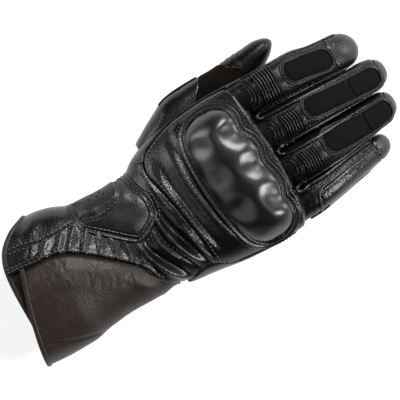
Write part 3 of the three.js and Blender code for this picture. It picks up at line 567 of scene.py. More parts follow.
WRIST_THUMB_SWELL = {"height": 1.2, "middle_y": -30, "half_length": 8, "side": (22, 34)}


def wrist_relief(x, y, angle):
    past = (y - WRIST_THUMB_SWELL["middle_y"]) / WRIST_THUMB_SWELL["half_length"]
    swell = WRIST_THUMB_SWELL["height"] * np.exp(-(past**2)) * step_in(-x, *WRIST_THUMB_SWELL["side"])
    return strokes(x, y, WRIST_FOLDS) + swell + 0.3 * unevenness(x * 1.6, y * 1.6)


wrist_left_ys = np.linspace(-46, -26.2, 60)
wrist_left = np.stack([thumb_side_angle(wrist_left_ys), wrist_left_ys], axis=-1)
wrist_right = np.array([(math.radians(degrees), y) for degrees, y in WRIST_RIGHT_EDGE])
wrist_back = on_top(HAND, smooth_line(WRIST_BACK_EDGE, 200))[1:-1]
wrist_front = on_top(HAND, smooth_line(BACK_WRIST_SEAM, 200))[:-1]
wrist_gather = hand_panel(
    "wrist_leather", HAND,
    back=np.vstack([wrist_left[:1], wrist_back, wrist_right[:1]]),
    front=np.vstack([wrist_front, wrist_right[-1:]]),
    left=wrist_left, right=wrist_right,
    relief=wrist_relief, step=0.75, material=black_leather, thickness=LEATHER_THICKNESS,
    rolled=("front", "left"),
)
attach(wrist_gather, "leather", "wrist_gather")

# Side of the hand.
# A second layer of leather over the edge of the hand below the little finger. It takes the rubbing there, and
# it is sewn down all round.
SIDE_TOP_EDGE = [(52.6, -39), (50.6, -31), (48.6, -23.6), (51.2, -14.8), (55.4, -8.4), (58, -1)]
SIDE_TOP_Z = 31
SIDE_LOW_Z = 11
SIDE_FRONT_Y = 40
SIDE_DEGREES = {"rear": 2, "lowest": -38}  # where its upper edge starts, and how low its lower edge goes
SIDE_LAYER = {"lift": 0.9, "rear_rise": 1.2, "rear": (20, 38)}  # it stands higher towards the wrist
side_rear_top = on_top(HAND, smooth_line(SIDE_TOP_EDGE, 60))[:-1]
side_top = np.vstack([side_rear_top, at_height(HAND, SIDE_TOP_Z, 0, SIDE_FRONT_Y, 1, 60)])
side_top[0, 0] = math.radians(SIDE_DEGREES["rear"])
side_low = at_height(HAND, SIDE_LOW_Z, SIDE_TOP_EDGE[0][1], SIDE_FRONT_Y, 1, 120)
side_low[:, 0] = np.maximum(side_low[:, 0], math.radians(SIDE_DEGREES["lowest"]))


def side_relief(x, y, angle):
    rise = SIDE_LAYER["rear_rise"] * step_in(-y, *SIDE_LAYER["rear"])
    return SIDE_LAYER["lift"] + rise + 0.12 * unevenness(x, y)


hand_side = hand_panel(
    "side_leather", HAND,
    back=np.stack([side_top[0], side_low[0]]), front=np.stack([side_top[-1], side_low[-1]]),
    left=side_top, right=side_low,
    relief=side_relief, step=1.2, material=black_leather, thickness=1.0,
)
attach(hand_side, "leather", "hand_side")

# Cuff.
# A wide gauntlet that closes over the sleeve. Its inner layer runs under the forearm and the flap, and the
# band on top gathers in small pleats towards the seam beside the flap. A folded strip binds the open hem.
HEM = [(-60, -95.6), (-42, -105.6), (-37.8, -112), (-33.6, -121), (-29.5, -127), (-23.6, -132.6),
       (-16, -136.2), (-7, -138), (5, -138.8), (24, -139), (54, -139.4), (80, -140.4)]
FLAP_SEAM = [(-7.9, -138), (-7.7, -134.6), (-6, -118.4), (-5.5, -109.2), (-1.8, -98), (5.5, -87), (16, -74),
             (30, -59.6), (41, -53.4)]
BAND_SEAM = [(-22.6, -131), (-21.6, -124), (-18.9, -111), (-18, -96.3), (-17.9, -83)]
BAND_LOW_Z = 17
HEM_LINE = smooth_line(HEM, 400)


def hem_y(angle, line, lift=0.0):
    """How far back the leather reaches at each angle, for a hem that is straight cut in plan."""
    y = np.full_like(angle, -130.0)
    for _ in range(30):
        x = skin(HAND, angle, y, lift)[..., 0]
        y = 0.5 * y + 0.5 * np.interp(x, line[:, 0], line[:, 1])
    return y


def hem_edge(angle0, angle1, line, count=240, lift=0.0):
    angle = np.linspace(angle0, angle1, count)
    return np.stack([angle, hem_y(angle, line, lift)], axis=-1)


def from_hem(edge, line, lift=0.0):
    """The same edge with its rear end moved onto the hem."""
    start = [edge[0, 0], hem_y(edge[:1, 0], line, lift)[0]]
    return np.vstack([start, edge[1:]])


def inner_cuff_relief(x, y, angle):
    return -0.4 + 0.2 * unevenness(x, y)


INNER_LAP = 4  # how far the inner layer goes under the band beyond the flap's seam
INNER_CORNER = (40, -50)
inner_seam = [(x - INNER_LAP, y) for x, y in FLAP_SEAM[1:-1]] + [INNER_CORNER]
inner_left = from_hem(on_top(HAND, smooth_line(inner_seam, 200)), HEM_LINE)
inner_right = at_height(HAND, BAND_LOW_Z, -112, CUFF_JOIN_Y, -1)
inner_right[:, 0] = np.where(inner_right[:, 0] > 0, inner_right[:, 0] - 2 * math.pi, inner_right[:, 0])
inner_right = from_hem(inner_right, HEM_LINE)
inner_front_share = np.linspace(0, 1, 200)
inner_front_y = np.interp(inner_front_share, [0, 0.12, 1], [INNER_CORNER[1], CUFF_JOIN_Y, CUFF_JOIN_Y])
inner_front_angle = np.linspace(inner_left[-1, 0], inner_right[-1, 0], 200)
cuff_under = hand_panel(
    "inner_cuff", HAND,
    back=hem_edge(inner_left[0, 0], inner_right[0, 0], HEM_LINE),
    front=np.stack([inner_front_angle, inner_front_y], axis=-1),
    left=inner_left, right=inner_right,
    relief=inner_cuff_relief, step=UNDER_STEP, material=black_leather, thickness=LEATHER_THICKNESS,
    rolled=(),
)
attach(cuff_under, "leather", "cuff_under")

# The band's own relief: pleats that lean across it, and last a fold that the sleeve presses into its thumb
# side. Each row: the fold's line, its half width and its height.
PLEATS = [
    ([(-18.4, -114), (-15, -119), (-11.6, -124)], 2.4, 0.8),
    ([(-17.4, -104.6), (-13, -109.6), (-7.4, -114.6)], 2.0, 1.7),
    ([(-16.4, -95), (-10, -100), (-5, -106)], 2.0, 2.1),
    ([(-16, -86), (-9.6, -91), (-3, -97.6)], 2.0, 2.3),
    ([(-11.4, -79), (-4, -83.8), (3, -90)], 2.0, 2.2),
    ([(-7, -73.6), (1, -75.4), (9.6, -80)], 1.9, 1.9),
    ([(-2.6, -69), (7, -69), (17, -71.6)], 1.9, 1.5),
    ([(3, -63.6), (13, -62.6), (25, -63.4)], 1.9, 1.2),
    ([(7, -58.2), (18, -57.4), (32, -58)], 1.8, 1.1),
    ([(-35, -104), (-29, -112), (-25, -122)], 4.0, 0.6),
]
FLAP_SEAM_ROWS = (1.9, 4.2)  # two rows of stitches, so far from the band's edge
FLAP_LAP = {"rise": 3.1, "width": 8}  # the band's edge lies over the flap
BAND_FOLD = {"rise": 0.8, "half_width": 0.6, "rear": (60, 84)}  # one layer higher beside the band's seam
BAND_FRONT = [(-26.4, -43), (-14, -43), (0, -44), (12, -50.5), (27, -54), (41, -53.4)]
SEAM_GROOVE = {"half_width": 0.9, "depth": 0.5}


def seam_distance(x, y, line):
    """Distance in plan from points to a line, positive on its right as it runs."""
    points = smooth_line(line, 60)
    start, ahead = points[:-1], np.diff(points, axis=0)
    offset = np.stack([x, y], axis=-1)[..., None, :] - start
    share = np.clip((offset * ahead).sum(-1) / (ahead**2).sum(-1), 0, 1)
    gap = offset - share[..., None] * ahead
    distance = np.linalg.norm(gap, axis=-1)
    best = distance.argmin(-1)[..., None]
    turn = ahead[:, 1] * gap[..., 0] - ahead[:, 0] * gap[..., 1]
    side = np.sign(np.take_along_axis(turn, best, -1)[..., 0])
    return side * np.take_along_axis(distance, best, -1)[..., 0]


def groove(distance, size=SEAM_GROOVE):
    return -size["depth"] * np.exp(-((distance / size["half_width"]) ** 2))


def band_relief(x, y, angle):
    inside = -seam_distance(x, y, FLAP_SEAM)
    lap = FLAP_LAP["rise"] * step_in(FLAP_LAP["width"] - inside, 0, FLAP_LAP["width"])
    from_band = seam_distance(x, y, BAND_SEAM)
    beside_seam = step_in(from_band, -BAND_FOLD["half_width"], BAND_FOLD["half_width"])
    fold_over = BAND_FOLD["rise"] * beside_seam * step_in(-y, *BAND_FOLD["rear"])
    rows = sum(groove(inside - place) for place in FLAP_SEAM_ROWS)
    return lap + fold_over + rows + strokes(x, y, PLEATS) + 0.2 * unevenness(x * 1.4, y * 1.4)


band_left = at_height(HAND, BAND_LOW_Z, -108, -43, -1)
band_left[:, 0] += 2 * math.pi
band_left = from_hem(band_left, HEM_LINE)
band_right = on_top(HAND, smooth_line(FLAP_SEAM, 200))
cuff_back = hand_panel(
    "cuff_band", HAND,
    back=hem_edge(band_left[0, 0], band_right[0, 0], HEM_LINE),
    front=on_top(HAND, smooth_line(BAND_FRONT, 200)),
    left=band_left, right=band_right,
    relief=band_relief, step=0.75, material=black_leather, thickness=LEATHER_THICKNESS,
    rolled=("right",),
)
attach(cuff_back, "leather", "cuff_back")


def sweep(points, normals, profile, closed=False):
    """A section carried along a line on the leather, as points and outward faces. Its columns are sideways
    and up. A closed line gives a ring."""
    ahead = np.roll(points, -1, 0) - np.roll(points, 1, 0) if closed else np.gradient(points, axis=0)
    ahead = ahead / np.linalg.norm(ahead, axis=1, keepdims=True)
    across = np.cross(ahead, normals)
    across = across / np.linalg.norm(across, axis=1, keepdims=True)
    up = np.cross(across, ahead)
    profile = np.asarray(profile, dtype=float)
    rings = points[:, None] + across[:, None] * profile[None, :, :1] + up[:, None] * profile[None, :, 1:]
    count, sides = len(points), len(profile)
    if closed:
        rings = np.concatenate([rings, rings[:1]])
    verts = rings.reshape(-1, 3)
    faces = net_faces(len(rings), sides, closed=True)
    if closed:
        verts = rings[:-1].reshape(-1, 3)
        faces = [[v % (count * sides) for v in face] for face in faces]
    else:
        ends = np.stack([rings[0].mean(0), rings[-1].mean(0)])
        verts = np.vstack([verts, ends])
        last = (count - 1) * sides
        for k in range(sides):
            after = (k + 1) % sides
            faces.append([count * sides, after, k])
            faces.append([count * sides + 1, last + k, last + after])
    return verts, outward(verts, faces)


def outward(points, faces):
    """The faces of a closed mesh, turned so that they point out."""
    volume = 0.0
    for face in faces:
        a = points[face[0]]
        for i in range(1, len(face) - 1):
            volume += a @ np.cross(points[face[i]], points[face[i + 1]])
    return faces if volume > 0 else [face[::-1] for face in faces]


def surface_frame(form, edge, lift=0.0):
    """Points of a form's surface on a line of (angle, y), and the directions square to it."""
    angle, y = edge[:, 0], edge[:, 1]
    point = skin(form, angle, y, lift)
    round_it = skin(form, angle - 0.01, y, lift) - skin(form, angle + 0.01, y, lift)
    along_it = skin(form, angle, y + 0.3, lift) - skin(form, angle, y - 0.3, lift)
    normal = np.cross(round_it, along_it)
    return point, normal / np.linalg.norm(normal, axis=-1, keepdims=True)


BINDING = {"near": -0.4, "far": 3.2, "low": -LEATHER_THICKNESS - 0.6, "high": 0.75, "corner_points": 5}
BINDING_LIFT = 0.1
brown_leather = leather_material("brown_black_leather", (0.0125, 0.0086, 0.0068), (0.0205, 0.0142, 0.0114),
                                 rough=(0.4, 0.5), specular=0.22, crease=0.0011, crease_size=42)


def binding_section():
    """The section of a folded strip: a rectangle with fully rounded corners."""
    near, far, low, high = (BINDING[side] for side in ("near", "far", "low", "high"))
    radius = min(far - near, high - low) / 2
    section = []
    for x, z, start in [(far - radius, high - radius, 0), (near + radius, high - radius, 90),
                        (near + radius, low + radius, 180), (far - radius, low + radius, 270)]:
        for turn in np.radians(np.linspace(start, start + 90, BINDING["corner_points"])):
            section.append((x + radius * math.cos(turn), z + radius * math.sin(turn)))
    return section


def binding(name, edge, lift, closed):
    """A folded strip sewn over a hem."""
    verts, faces = sweep(*surface_frame(HAND, edge, lift + BINDING_LIFT), binding_section(), closed)
    return make_piece(name, verts, faces, brown_leather)


hem_ring = hem_edge(math.radians(250), math.radians(-110), HEM_LINE, count=401)[:-1]
cuff_binding = binding("cuff_hem_strip", hem_ring, 0.0, closed=True)
attach(cuff_binding, "flap_leather", "cuff_binding")

# Closing flap.
# A smooth brown-black panel over the little finger's side of the cuff. It starts under the edge of the
# gathered band, wraps round the side and closes flat underneath. Its hem is bound, and a curved seam runs
# near its lower corner.
FLAP_HEM = [(-20, -124.4), (-5, -129.2), (5.7, -132.6), (17, -136.2), (30.4, -139.6), (44, -142.6),
            (56, -144.3), (80, -145.4)]
FLAP_LOW_SEAM = [(39.6, -142.5), (41, -137.4), (47.4, -120.3), (51.6, -104), (52.8, -94)]
# The groove of that seam and the flap's tuck fade out round the side, between two sines of the angle.
FLAP_LOW_GROOVE = {"half_width": 0.7, "depth": 1.0, "side": (0, 0.1)}
FLAP_TUCK = {"depth": 2.5, "width": 11, "side": (0, 0.3)}
FLAP_THICKNESS = 1.7
FLAP_LIFT = 3.0
FLAP_DRAW_IN = {"depth": 2.6, "y0": -58, "y1": -46}
FLAP_BINDING_INSET = 0.03  # from the flap's edge to the start of its binding, in radians
FLAP_EDGE_X = 12.0  # where the flap ends underneath
FLAP_FRONT = [(36, -57.5), (42.5, -52.6), (47, -48.6), (52.5, -43.5)]
FLAP_HEM_LINE = smooth_line(FLAP_HEM, 400)
FLAP_CREASES = [
    ([(9, -130), (11, -112), (18, -94)], 5, 0.9),
    ([(34, -70), (42, -62), (47, -55)], 3, 0.8),
]
FLAP_WRINKLES = {"count": 44, "places": (8, 165), "start": 2, "reach": 13, "half_width": (0.8, 1.3),
                 "length": (4, 10), "lean": 0.45, "bend": 0.8, "height": 0.26, "fade": 0.6}


def beside(line, distance):
    """A line in plan moved to its right by a distance."""
    ahead = np.gradient(line, axis=0)
    ahead = ahead / np.linalg.norm(ahead, axis=1, keepdims=True)
    return line + distance * np.stack([ahead[:, 1], -ahead[:, 0]], axis=-1)


def wrinkles(size):
    """Short creases that fan out from the flap's seam, weaker and rarer away from it."""
    seam = smooth_line(FLAP_SEAM, 200)
    away = beside(seam, 1.0) - seam
    table = []
    for _ in range(size["count"]):
        place = int(RANDOM.integers(*size["places"]))
        gone = RANDOM.random() ** 1.5
        lean = RANDOM.normal(0, size["lean"])
        c, s = math.cos(lean), math.sin(lean)
        out = np.array([away[place, 0] * c - away[place, 1] * s, away[place, 0] * s + away[place, 1] * c])
        start = seam[place] + away[place] * (size["start"] + size["reach"] * gone)
        length = RANDOM.uniform(*size["length"])
        bend = np.array([-out[1], out[0]]) * RANDOM.normal(0, size["bend"])
        height = size["height"] * (1 - size["fade"] * gone) * RANDOM.choice([-1, 1])
        line = [start, start + out * length / 2 + bend, start + out * length]
        table.append((line, RANDOM.uniform(*size["half_width"]), height))
    return table


FLAP_CREASES += wrinkles(FLAP_WRINKLES)


def flap_level(y):
    """The flap's height over the cuff. It draws in towards the wrist."""
    return FLAP_LIFT - FLAP_DRAW_IN["depth"] * step_in(y, FLAP_DRAW_IN["y0"], FLAP_DRAW_IN["y1"])


def flap_relief(x, y, angle):
    inside = seam_distance(x, y, FLAP_SEAM)
    tuck = FLAP_TUCK["depth"] * (1 - step_in(inside, 0, FLAP_TUCK["width"]))
    tuck = tuck * step_in(np.sin(angle), *FLAP_TUCK["side"]) * flap_level(y) / FLAP_LIFT
    low_seam = seam_distance(x, y, FLAP_LOW_SEAM)
    level = flap_level(y) - tuck + strokes(x, y, FLAP_CREASES) + 0.2 * unevenness(x * 0.8, y * 0.8)
    return level + groove(low_seam, FLAP_LOW_GROOVE) * step_in(np.sin(angle), *FLAP_LOW_GROOVE["side"])


FLAP_SIDE_Z = 20
FLAP_UNDER_BAND = 1.5
flap_left_plan = [(x - FLAP_UNDER_BAND, y) for x, y in FLAP_SEAM[1:-1]]
flap_left = on_top(HAND, smooth_line([*flap_left_plan, FLAP_FRONT[0]], 200))
flap_left = from_hem(flap_left, FLAP_HEM_LINE, FLAP_LIFT)
flap_left = flap_left[flap_left[:, 1] >= flap_left[0, 1]]
flap_right = from_hem(at_height(HAND, FLAP_SIDE_Z, -145, FLAP_FRONT[-1][1], 1), FLAP_HEM_LINE, FLAP_LIFT)
flap_front = np.vstack([on_top(HAND, smooth_line(FLAP_FRONT, 100))[:-1], flap_right[-1:]])
cuff_flap = hand_panel(
    "flap_panel", HAND,
    back=hem_edge(flap_left[0, 0], flap_right[0, 0], FLAP_HEM_LINE, lift=FLAP_LIFT),
    front=flap_front, left=flap_left, right=flap_right,
    relief=flap_relief, step=TOP_STEP, material=brown_leather, thickness=FLAP_THICKNESS,
    rolled=("front",), roll={"width": 1.6, "depth": 1.0},
)
attach(cuff_flap, "flap_leather", "cuff_flap")

under_right_y = np.linspace(-137.4, CUFF_JOIN_Y, 100)
under_right_x = np.full(len(under_right_y), FLAP_EDGE_X)
under_right = np.stack([-angle_over(HAND, under_right_x, under_right_y), under_right_y], axis=-1)
under_right = from_hem(under_right, FLAP_HEM_LINE, FLAP_LIFT)


def flap_under_relief(x, y, angle):
    return flap_level(y) + 0.2 * unevenness(x * 0.8, y * 0.8) * step_in(np.sin(angle), -0.7, 0)


cuff_flap_under = hand_panel(
    "flap_underside", HAND,
    back=hem_edge(flap_right[0, 0], under_right[0, 0], FLAP_HEM_LINE, lift=FLAP_LIFT),
    front=np.stack([flap_right[-1], under_right[-1]]), left=flap_right, right=under_right,
    relief=flap_under_relief, step=UNDER_STEP, material=brown_leather, thickness=FLAP_THICKNESS,
    rolled=("front", "right"),
)
attach(cuff_flap_under, "flap_leather", "cuff_flap_under")

flap_hem_start = flap_left[0, 0] - FLAP_BINDING_INSET
flap_hem_edge = hem_edge(flap_hem_start, under_right[0, 0], FLAP_HEM_LINE, count=300, lift=FLAP_LIFT)
flap_binding = binding("flap_hem_strip", flap_hem_edge, FLAP_LIFT, closed=False)
attach(flap_binding, "flap_leather", "flap_binding")

# Wrist pad.
# Leather over thin foam on the thumb's side of the wrist. A V-shaped channel is sewn through it, a few small
# air holes are punched in its outer half, and a piped border holds it down.
PAD_LEFT = [(-23.5, -80.8), (-25.8, -70), (-26.2, -58), (-26, -48), (-25.5, -42.5)]
PAD_RIGHT = [(-12.6, -80), (-0.7, -66.3), (7, -57.6), (10.8, -52.8)]
PAD_BACK = [(-23.5, -80.8), (-18, -81.2), (-12.6, -80)]
PAD_FRONT = [(-25.5, -42.5), (-16, -39.8), (-7.7, -36.9), (1.4, -37.8), (5.4, -41.4), (9, -47.6),
             (10.8, -52.8)]
PAD_LEFT_ANGLE = {"y": [-81, -70, -46, -42], "degrees": [164, 178, 178, 166]}
PAD_CHANNEL = [(-16, -79), (-12.6, -69), (-12.8, -61), (-14.9, -52), (-19.2, -48.2), (-26.4, -47.8)]
PAD_HOLES = [(-21.6, -63.4), (-21.2, -58.5), (-23.4, -60.8), (-23.6, -65.6), (-22.4, -69)]
PAD_PUFF = {"edge": 1.2, "rise": 3.2, "width": 9}
PAD_GROOVE = {"half_width": 1.7, "depth": 1.6}
# A hole's radius and the depth of its dimple, and how high the dot of painted shade sits in it.
PAD_HOLE = {"radius": 0.6, "depth": 0.5, "rise": 0.15}
PAD_SWELL = {"rise": 2.7, "side": (8, 21), "back": (-80, -68), "front": (41, 52)}


def pad_relief(x, y, angle):
    edges = skin(HAND, *np.moveaxis(np.vstack(pad_borders), -1, 0))
    inside = np.clip(edge_distance(skin(HAND, angle, y), edges) / PAD_PUFF["width"], 0, 1)
    puff = PAD_PUFF["edge"] + PAD_PUFF["rise"] * np.sin(math.pi / 2 * inside) ** 0.8
    channel = groove(seam_distance(x, y, PAD_CHANNEL), PAD_GROOVE)
    holes = sum(np.exp(-((x - hole_x) ** 2 + (y - hole_y) ** 2) / PAD_HOLE["radius"] ** 2)
                for hole_x, hole_y in PAD_HOLES)
    return puff + channel - PAD_HOLE["depth"] * holes + 0.1 * unevenness(x * 1.5, y * 1.5)


def pad_swell(points):
    """How far the foam lifts the pad's outer half, at points in millimetres."""
    x, y = points[..., 0], points[..., 1]
    lengthways = step_in(y, *PAD_SWELL["back"]) * step_in(-y, *PAD_SWELL["front"])
    return PAD_SWELL["rise"] * step_in(-x, *PAD_SWELL["side"]) * lengthways


pad_left = on_top(HAND, smooth_line(PAD_LEFT, 120))
pad_left[:, 0] = np.interp(pad_left[:, 1], PAD_LEFT_ANGLE["y"], np.radians(PAD_LEFT_ANGLE["degrees"]))
pad_back = on_top(HAND, smooth_line(PAD_BACK, 60))
pad_back[0] = pad_left[0]
pad_front = on_top(HAND, smooth_line(PAD_FRONT, 120))
pad_front[0] = pad_left[-1]
pad_right = on_top(HAND, smooth_line(PAD_RIGHT, 120))
pad_borders = [pad_left, pad_back, pad_front, pad_right]
pad_leather = leather_material("pad_leather", (0.0016, 0.0014, 0.0015), (0.0045, 0.0041, 0.0042),
                               rough=(0.36, 0.46), specular=0.42)
wrist_pad = hand_panel(
    "wrist_pad_leather", HAND, back=pad_back, front=pad_front, left=pad_left, right=pad_right,
    relief=pad_relief, step=0.6, material=pad_leather, thickness=1.2, roll={"width": 1.5, "depth": 1.1},
)
for vertex in wrist_pad.data.vertices:
    vertex.co.z += float(pad_swell(np.array(vertex.co) / MM)) * MM
attach(wrist_pad, "leather", "wrist_pad")


def start_tree(name, sizes):
    """A Geometry Nodes tree with inputs for its geometry and each size, and the identifiers of the sizes."""
    tree = bpy.data.node_groups.new(name, "GeometryNodeTree")
    tree.interface.new_socket("Geometry", in_out="INPUT", socket_type="NodeSocketGeometry")
    sockets = {}
    for size in sizes:
        socket = tree.interface.new_socket(size, in_out="INPUT", socket_type="NodeSocketFloat")
        sockets[size] = socket.identifier
    tree.interface.new_socket("Geometry", in_out="OUTPUT", socket_type="NodeSocketGeometry")
    return tree, sockets


def end_tree(tree, instances, material):
    """Makes a tree's instances one real mesh, gives it its material and sends it out."""
    real = tree.nodes.new("GeometryNodeRealizeInstances")
    finish = tree.nodes.new("GeometryNodeSetMaterial")
    result = tree.nodes.new("NodeGroupOutput")
    finish.inputs["Material"].default_value = material
    tree.links.new(instances, real.inputs["Geometry"])
    tree.links.new(real.outputs["Geometry"], finish.inputs["Geometry"])
    tree.links.new(finish.outputs["Geometry"], result.inputs["Geometry"])


def grow(name, points, edges, tree, sockets, sizes):
    """A piece that a tree makes on points and edges, with all its measures in millimetres."""
    mesh = bpy.data.meshes.new(name)
    mesh.from_pydata((np.asarray(points) * MM).tolist(), edges, [])
    piece = add_object(name, mesh)
    growth = piece.modifiers.new("growth", "NODES")
    growth.node_group = tree
    for size, identifier in sockets.items():
        growth[identifier] = sizes[size] * MM
    settle(piece)
    piece.data.shade_smooth()
    return piece


def shadow_material():
    """Painted shade for a punched hole: a matte black that sends no light back."""
    material, _, _, shader = new_material("hole_shadow")
    shader.inputs["Base Color"].default_value = (0.001, 0.001, 0.001, 1)
    shader.inputs["Roughness"].default_value = 1
    shader.inputs["Specular IOR Level"].default_value = 0
    return material


def hole_shade_tree(material):
    """Points in, and on each a small dark dot of painted shade out."""
    tree, sockets = start_tree("painted_shade_dots", ["radius"])
    nodes, links = tree.nodes, tree.links
    source = nodes.new("NodeGroupInput")
    dot = nodes.new("GeometryNodeMeshUVSphere")
    dot.inputs["Segments"].default_value = 10
    dot.inputs["Rings"].default_value = 6
    links.new(source.outputs["radius"], dot.inputs["Radius"])
    copies = nodes.new("GeometryNodeInstanceOnPoints")
    links.new(source.outputs["Geometry"], copies.inputs["Points"])
    links.new(dot.outputs["Mesh"], copies.inputs["Instance"])
    end_tree(tree, copies.outputs["Instances"], material)
    return tree, sockets


# Each punched hole holds a small black dot: painted shade where the inside of the hole would lie in shadow.
hole_edge = on_top(HAND, np.array(PAD_HOLES))
hole_lift = pad_relief(np.array(PAD_HOLES)[:, 0], hole_edge[:, 1], hole_edge[:, 0])
hole_points = skin(HAND, hole_edge[:, 0], hole_edge[:, 1], hole_lift)
hole_points[:, 2] += pad_swell(hole_points) + PAD_HOLE["rise"]
shade_dot_group, shade_dot_sockets = hole_shade_tree(shadow_material())
hole_shade_piece = grow("wrist_pad_hole_shade", hole_points, [], shade_dot_group, shade_dot_sockets, PAD_HOLE)
attach(hole_shade_piece, "leather")

# Piping: a thin cord in a strip of leather, sewn in along an edge so that it stands up beside it.
PIPING_SIDES = 8


def piping(name, lines, radius, material):
    """Piping along lines given as (points, normals)."""
    turns = [2 * math.pi * k / PIPING_SIDES for k in range(PIPING_SIDES)]
    section = [(radius * math.cos(turn), radius * math.sin(turn)) for turn in turns]
    verts, faces = [], []
    for points, normals in lines:
        more, quads = sweep(points, normals, section)
        start = sum(len(v) for v in verts)
        verts.append(more)
        faces += [[v + start for v in quad] for quad in quads]
    return make_piece(name, np.vstack(verts), faces, material)


def line_on(form, plan, lift=0.0):
    """Points of a line in plan on top of a form, and the directions square to it."""
    return surface_frame(form, on_top(form, plan), lift)


# The section of the border, sideways from the pad's edge and up: a cord beside the pad and a lower one
# beyond.
PAD_BORDER = [(-0.9, -0.3), (-0.9, 1.3), (-0.4, 2.1), (0.3, 2.3), (1.0, 2.0), (1.5, 1.1), (2.1, 0.7),
              (2.7, 1.1), (3.3, 1.6), (3.9, 1.6), (4.4, 1.1), (4.8, 0.3), (5.0, -0.5)]
pad_loop = np.vstack([pad_back, pad_right, pad_front[::-1]])
pad_rim = evenly(skin(HAND, pad_loop[:, 0], pad_loop[:, 1]), 260)
pad_rim_points, pad_rim_normals = line_on(HAND, pad_rim)
pad_border_mesh = sweep(pad_rim_points, pad_rim_normals, PAD_BORDER)
pad_border = make_piece("wrist_pad_border", *pad_border_mesh, black_leather)
attach(pad_border, "leather")

# Knuckle guard.
# A hard moulded shell with bumps over the knuckles, under a smooth skin with a soft shine. A stitched leather
# border with two rows of piping holds its edge on the back of the hand.
GUARD_OUTLINE = [
    (-31.3, 7.8), (-36.4, 16.1), (-37.9, 26.1), (-36, 32.6), (-32.1, 37.8), (-26.4, 40.2), (-20, 39.4),
    (-14.5, 39.7), (-10.5, 42), (-6.6, 43.9), (-1, 44.6), (3.5, 43.6), (7.2, 42.7), (11, 42.6), (15.2, 43.6),
    (20, 45), (24.5, 45.4), (30.6, 43.9), (35.8, 42.2), (41.2, 43.6), (47.3, 43.4), (52, 40.6), (55.5, 35.6),
    (57.2, 29), (56, 19.4), (51.4, 13.2), (45.4, 9.9), (29.5, 6.2), (9.9, 3.8), (-8.8, 3.2), (-23.2, 4.6),
]
GUARD_ENDS = [(-37.9, 26.1), (57.2, 29)]
GUARD_CREST = np.array([(-23, 25.5), (42, 29.5)])
GUARD_RIM = 3.2
GUARD_RISE = 8.2
GUARD_ROUND = {"share": 0.87, "power": 2.1}  # the even fall from the crest
GUARD_EDGE = {"share": 0.13, "power": 16}  # the last fall, close to the rim
GUARD_SLANT = 0.095  # the crest runs forward by this much towards the little finger
# The bumps, told by the valleys between them: one valley's x, the distance to the next, the depth of each,
# and how far forward, square to the slant, the valleys start and reach their full depth.
GUARD_FRONT_BUMPS = {"valley_x": 7.6, "pace": 24.2, "depth": 3.2, "start": 24, "full": 37}
GUARD_REAR_BUMPS = {"valley_x": 4.6, "pace": 24.2, "depth": 2.2, "start": 24, "full": 12}
# The valleys fade in over these stretches of x, told as -x on the little finger's side.
GUARD_VALLEY_ENDS = {"thumb_side": (-34, -20), "little_side": (-54, -44)}
GUARD_SINK = 0.4  # the shell goes down this far under the top of the leather
GUARD_ACROSS = 92
GUARD_ALONG = 220
GUARD_THICKNESS = 1.6
WELD_DISTANCE = 0.03


def closed_line(points, count):
    """Evenly spaced points on a smooth closed line."""
    half = 800
    dense = smooth_line([*points[-3:], *points, *points[:4]], 2 * half)
    from_start = np.linalg.norm(dense - np.array(points[0]), axis=1)
    first = int(from_start[:half].argmin())
    second = half + int(from_start[half:].argmin())
    return evenly(dense[first:second + 1], count + 1)[:-1]


def valleys(x, bumps):
    """1 in the middle of each valley between the bumps and 0 on them."""
    return (0.5 + 0.5 * np.cos(2 * math.pi * (x - bumps["valley_x"]) / bumps["pace"])) ** 1.2


def guard_lift(x, y, share):
    """Height of the shell over the leather. Share runs from 0 on its crest to 1 at its rim."""
    dome = 1 - sum(fall["share"] * share ** fall["power"] for fall in (GUARD_ROUND, GUARD_EDGE))
    ahead = y - GUARD_SLANT * x
    front, rear = GUARD_FRONT_BUMPS, GUARD_REAR_BUMPS
    depth = front["depth"] * step_in(ahead, front["start"], front["full"]) * valleys(x, front)
    depth = depth + rear["depth"] * step_in(-ahead, -rear["start"], -rear["full"]) * valleys(x, rear)
    ends = GUARD_VALLEY_ENDS
    between_ends = step_in(x, *ends["thumb_side"]) * step_in(-x, *ends["little_side"])
    return GUARD_RIM + GUARD_RISE * dome - depth * between_ends * np.sqrt(np.maximum(dome, 0))


def plate_net(outline, ends, across, along):
    """A net over a closed outline in plan, from its rear to its front side, closer near its rim."""
    first, last = [int(np.linalg.norm(outline - end, axis=1).argmin()) for end in ends]
    around = np.roll(outline, -first, axis=0)
    turn = (last - first) % len(outline)
    sides = [around[:turn + 1], np.vstack([around[turn:], around[:1]])[::-1]]
    sides.sort(key=lambda side: side[:, 1].mean())
    ease = (1 - np.cos(np.linspace(0, math.pi, along))) / 2
    fine = 800
    rear, front = [evenly(side, fine)[np.round(ease * (fine - 1)).astype(int)] for side in sides]
    v = ((1 - np.cos(np.linspace(0, math.pi, across))) / 2)[:, None, None]
    return rear * (1 - v) + front * v


def crest_share(net, crest, outline):
    """0 on the crest line of a plate and 1 on its outline."""
    ahead = crest[1] - crest[0]
    share = np.clip(((net - crest[0]) @ ahead) / (ahead @ ahead), 0, 1)[..., None]
    inner = np.linalg.norm(net - (crest[0] + share * ahead), axis=-1)
    outer = edge_distance(net, outline)
    return inner / (inner + outer)


def top_height(form, x, y):
    return skin(form, angle_over(form, x, y), y)[..., 2]


def gloss_material(name, colour, rough, coat):
    """A smooth moulded skin with a faint orange peel."""
    material, nodes, links, shader = new_material(name)
    shader.inputs["Base Color"].default_value = (*colour, 1)
    shader.inputs["Coat Weight"].default_value = coat
    shader.inputs["Coat Roughness"].default_value = 0.3
    place = nodes.new("ShaderNodeTexCoord").outputs["Object"]
    polish = add_range(nodes, links, add_noise(nodes, links, place, 45, 5), *rough, span=(0, 1))
    links.new(polish, shader.inputs["Roughness"])
    peel = add_bump(nodes, links, add_noise(nodes, links, place, 700, 3), 0.00012, 0.25)
    links.new(peel, shader.inputs["Normal"])
    return material


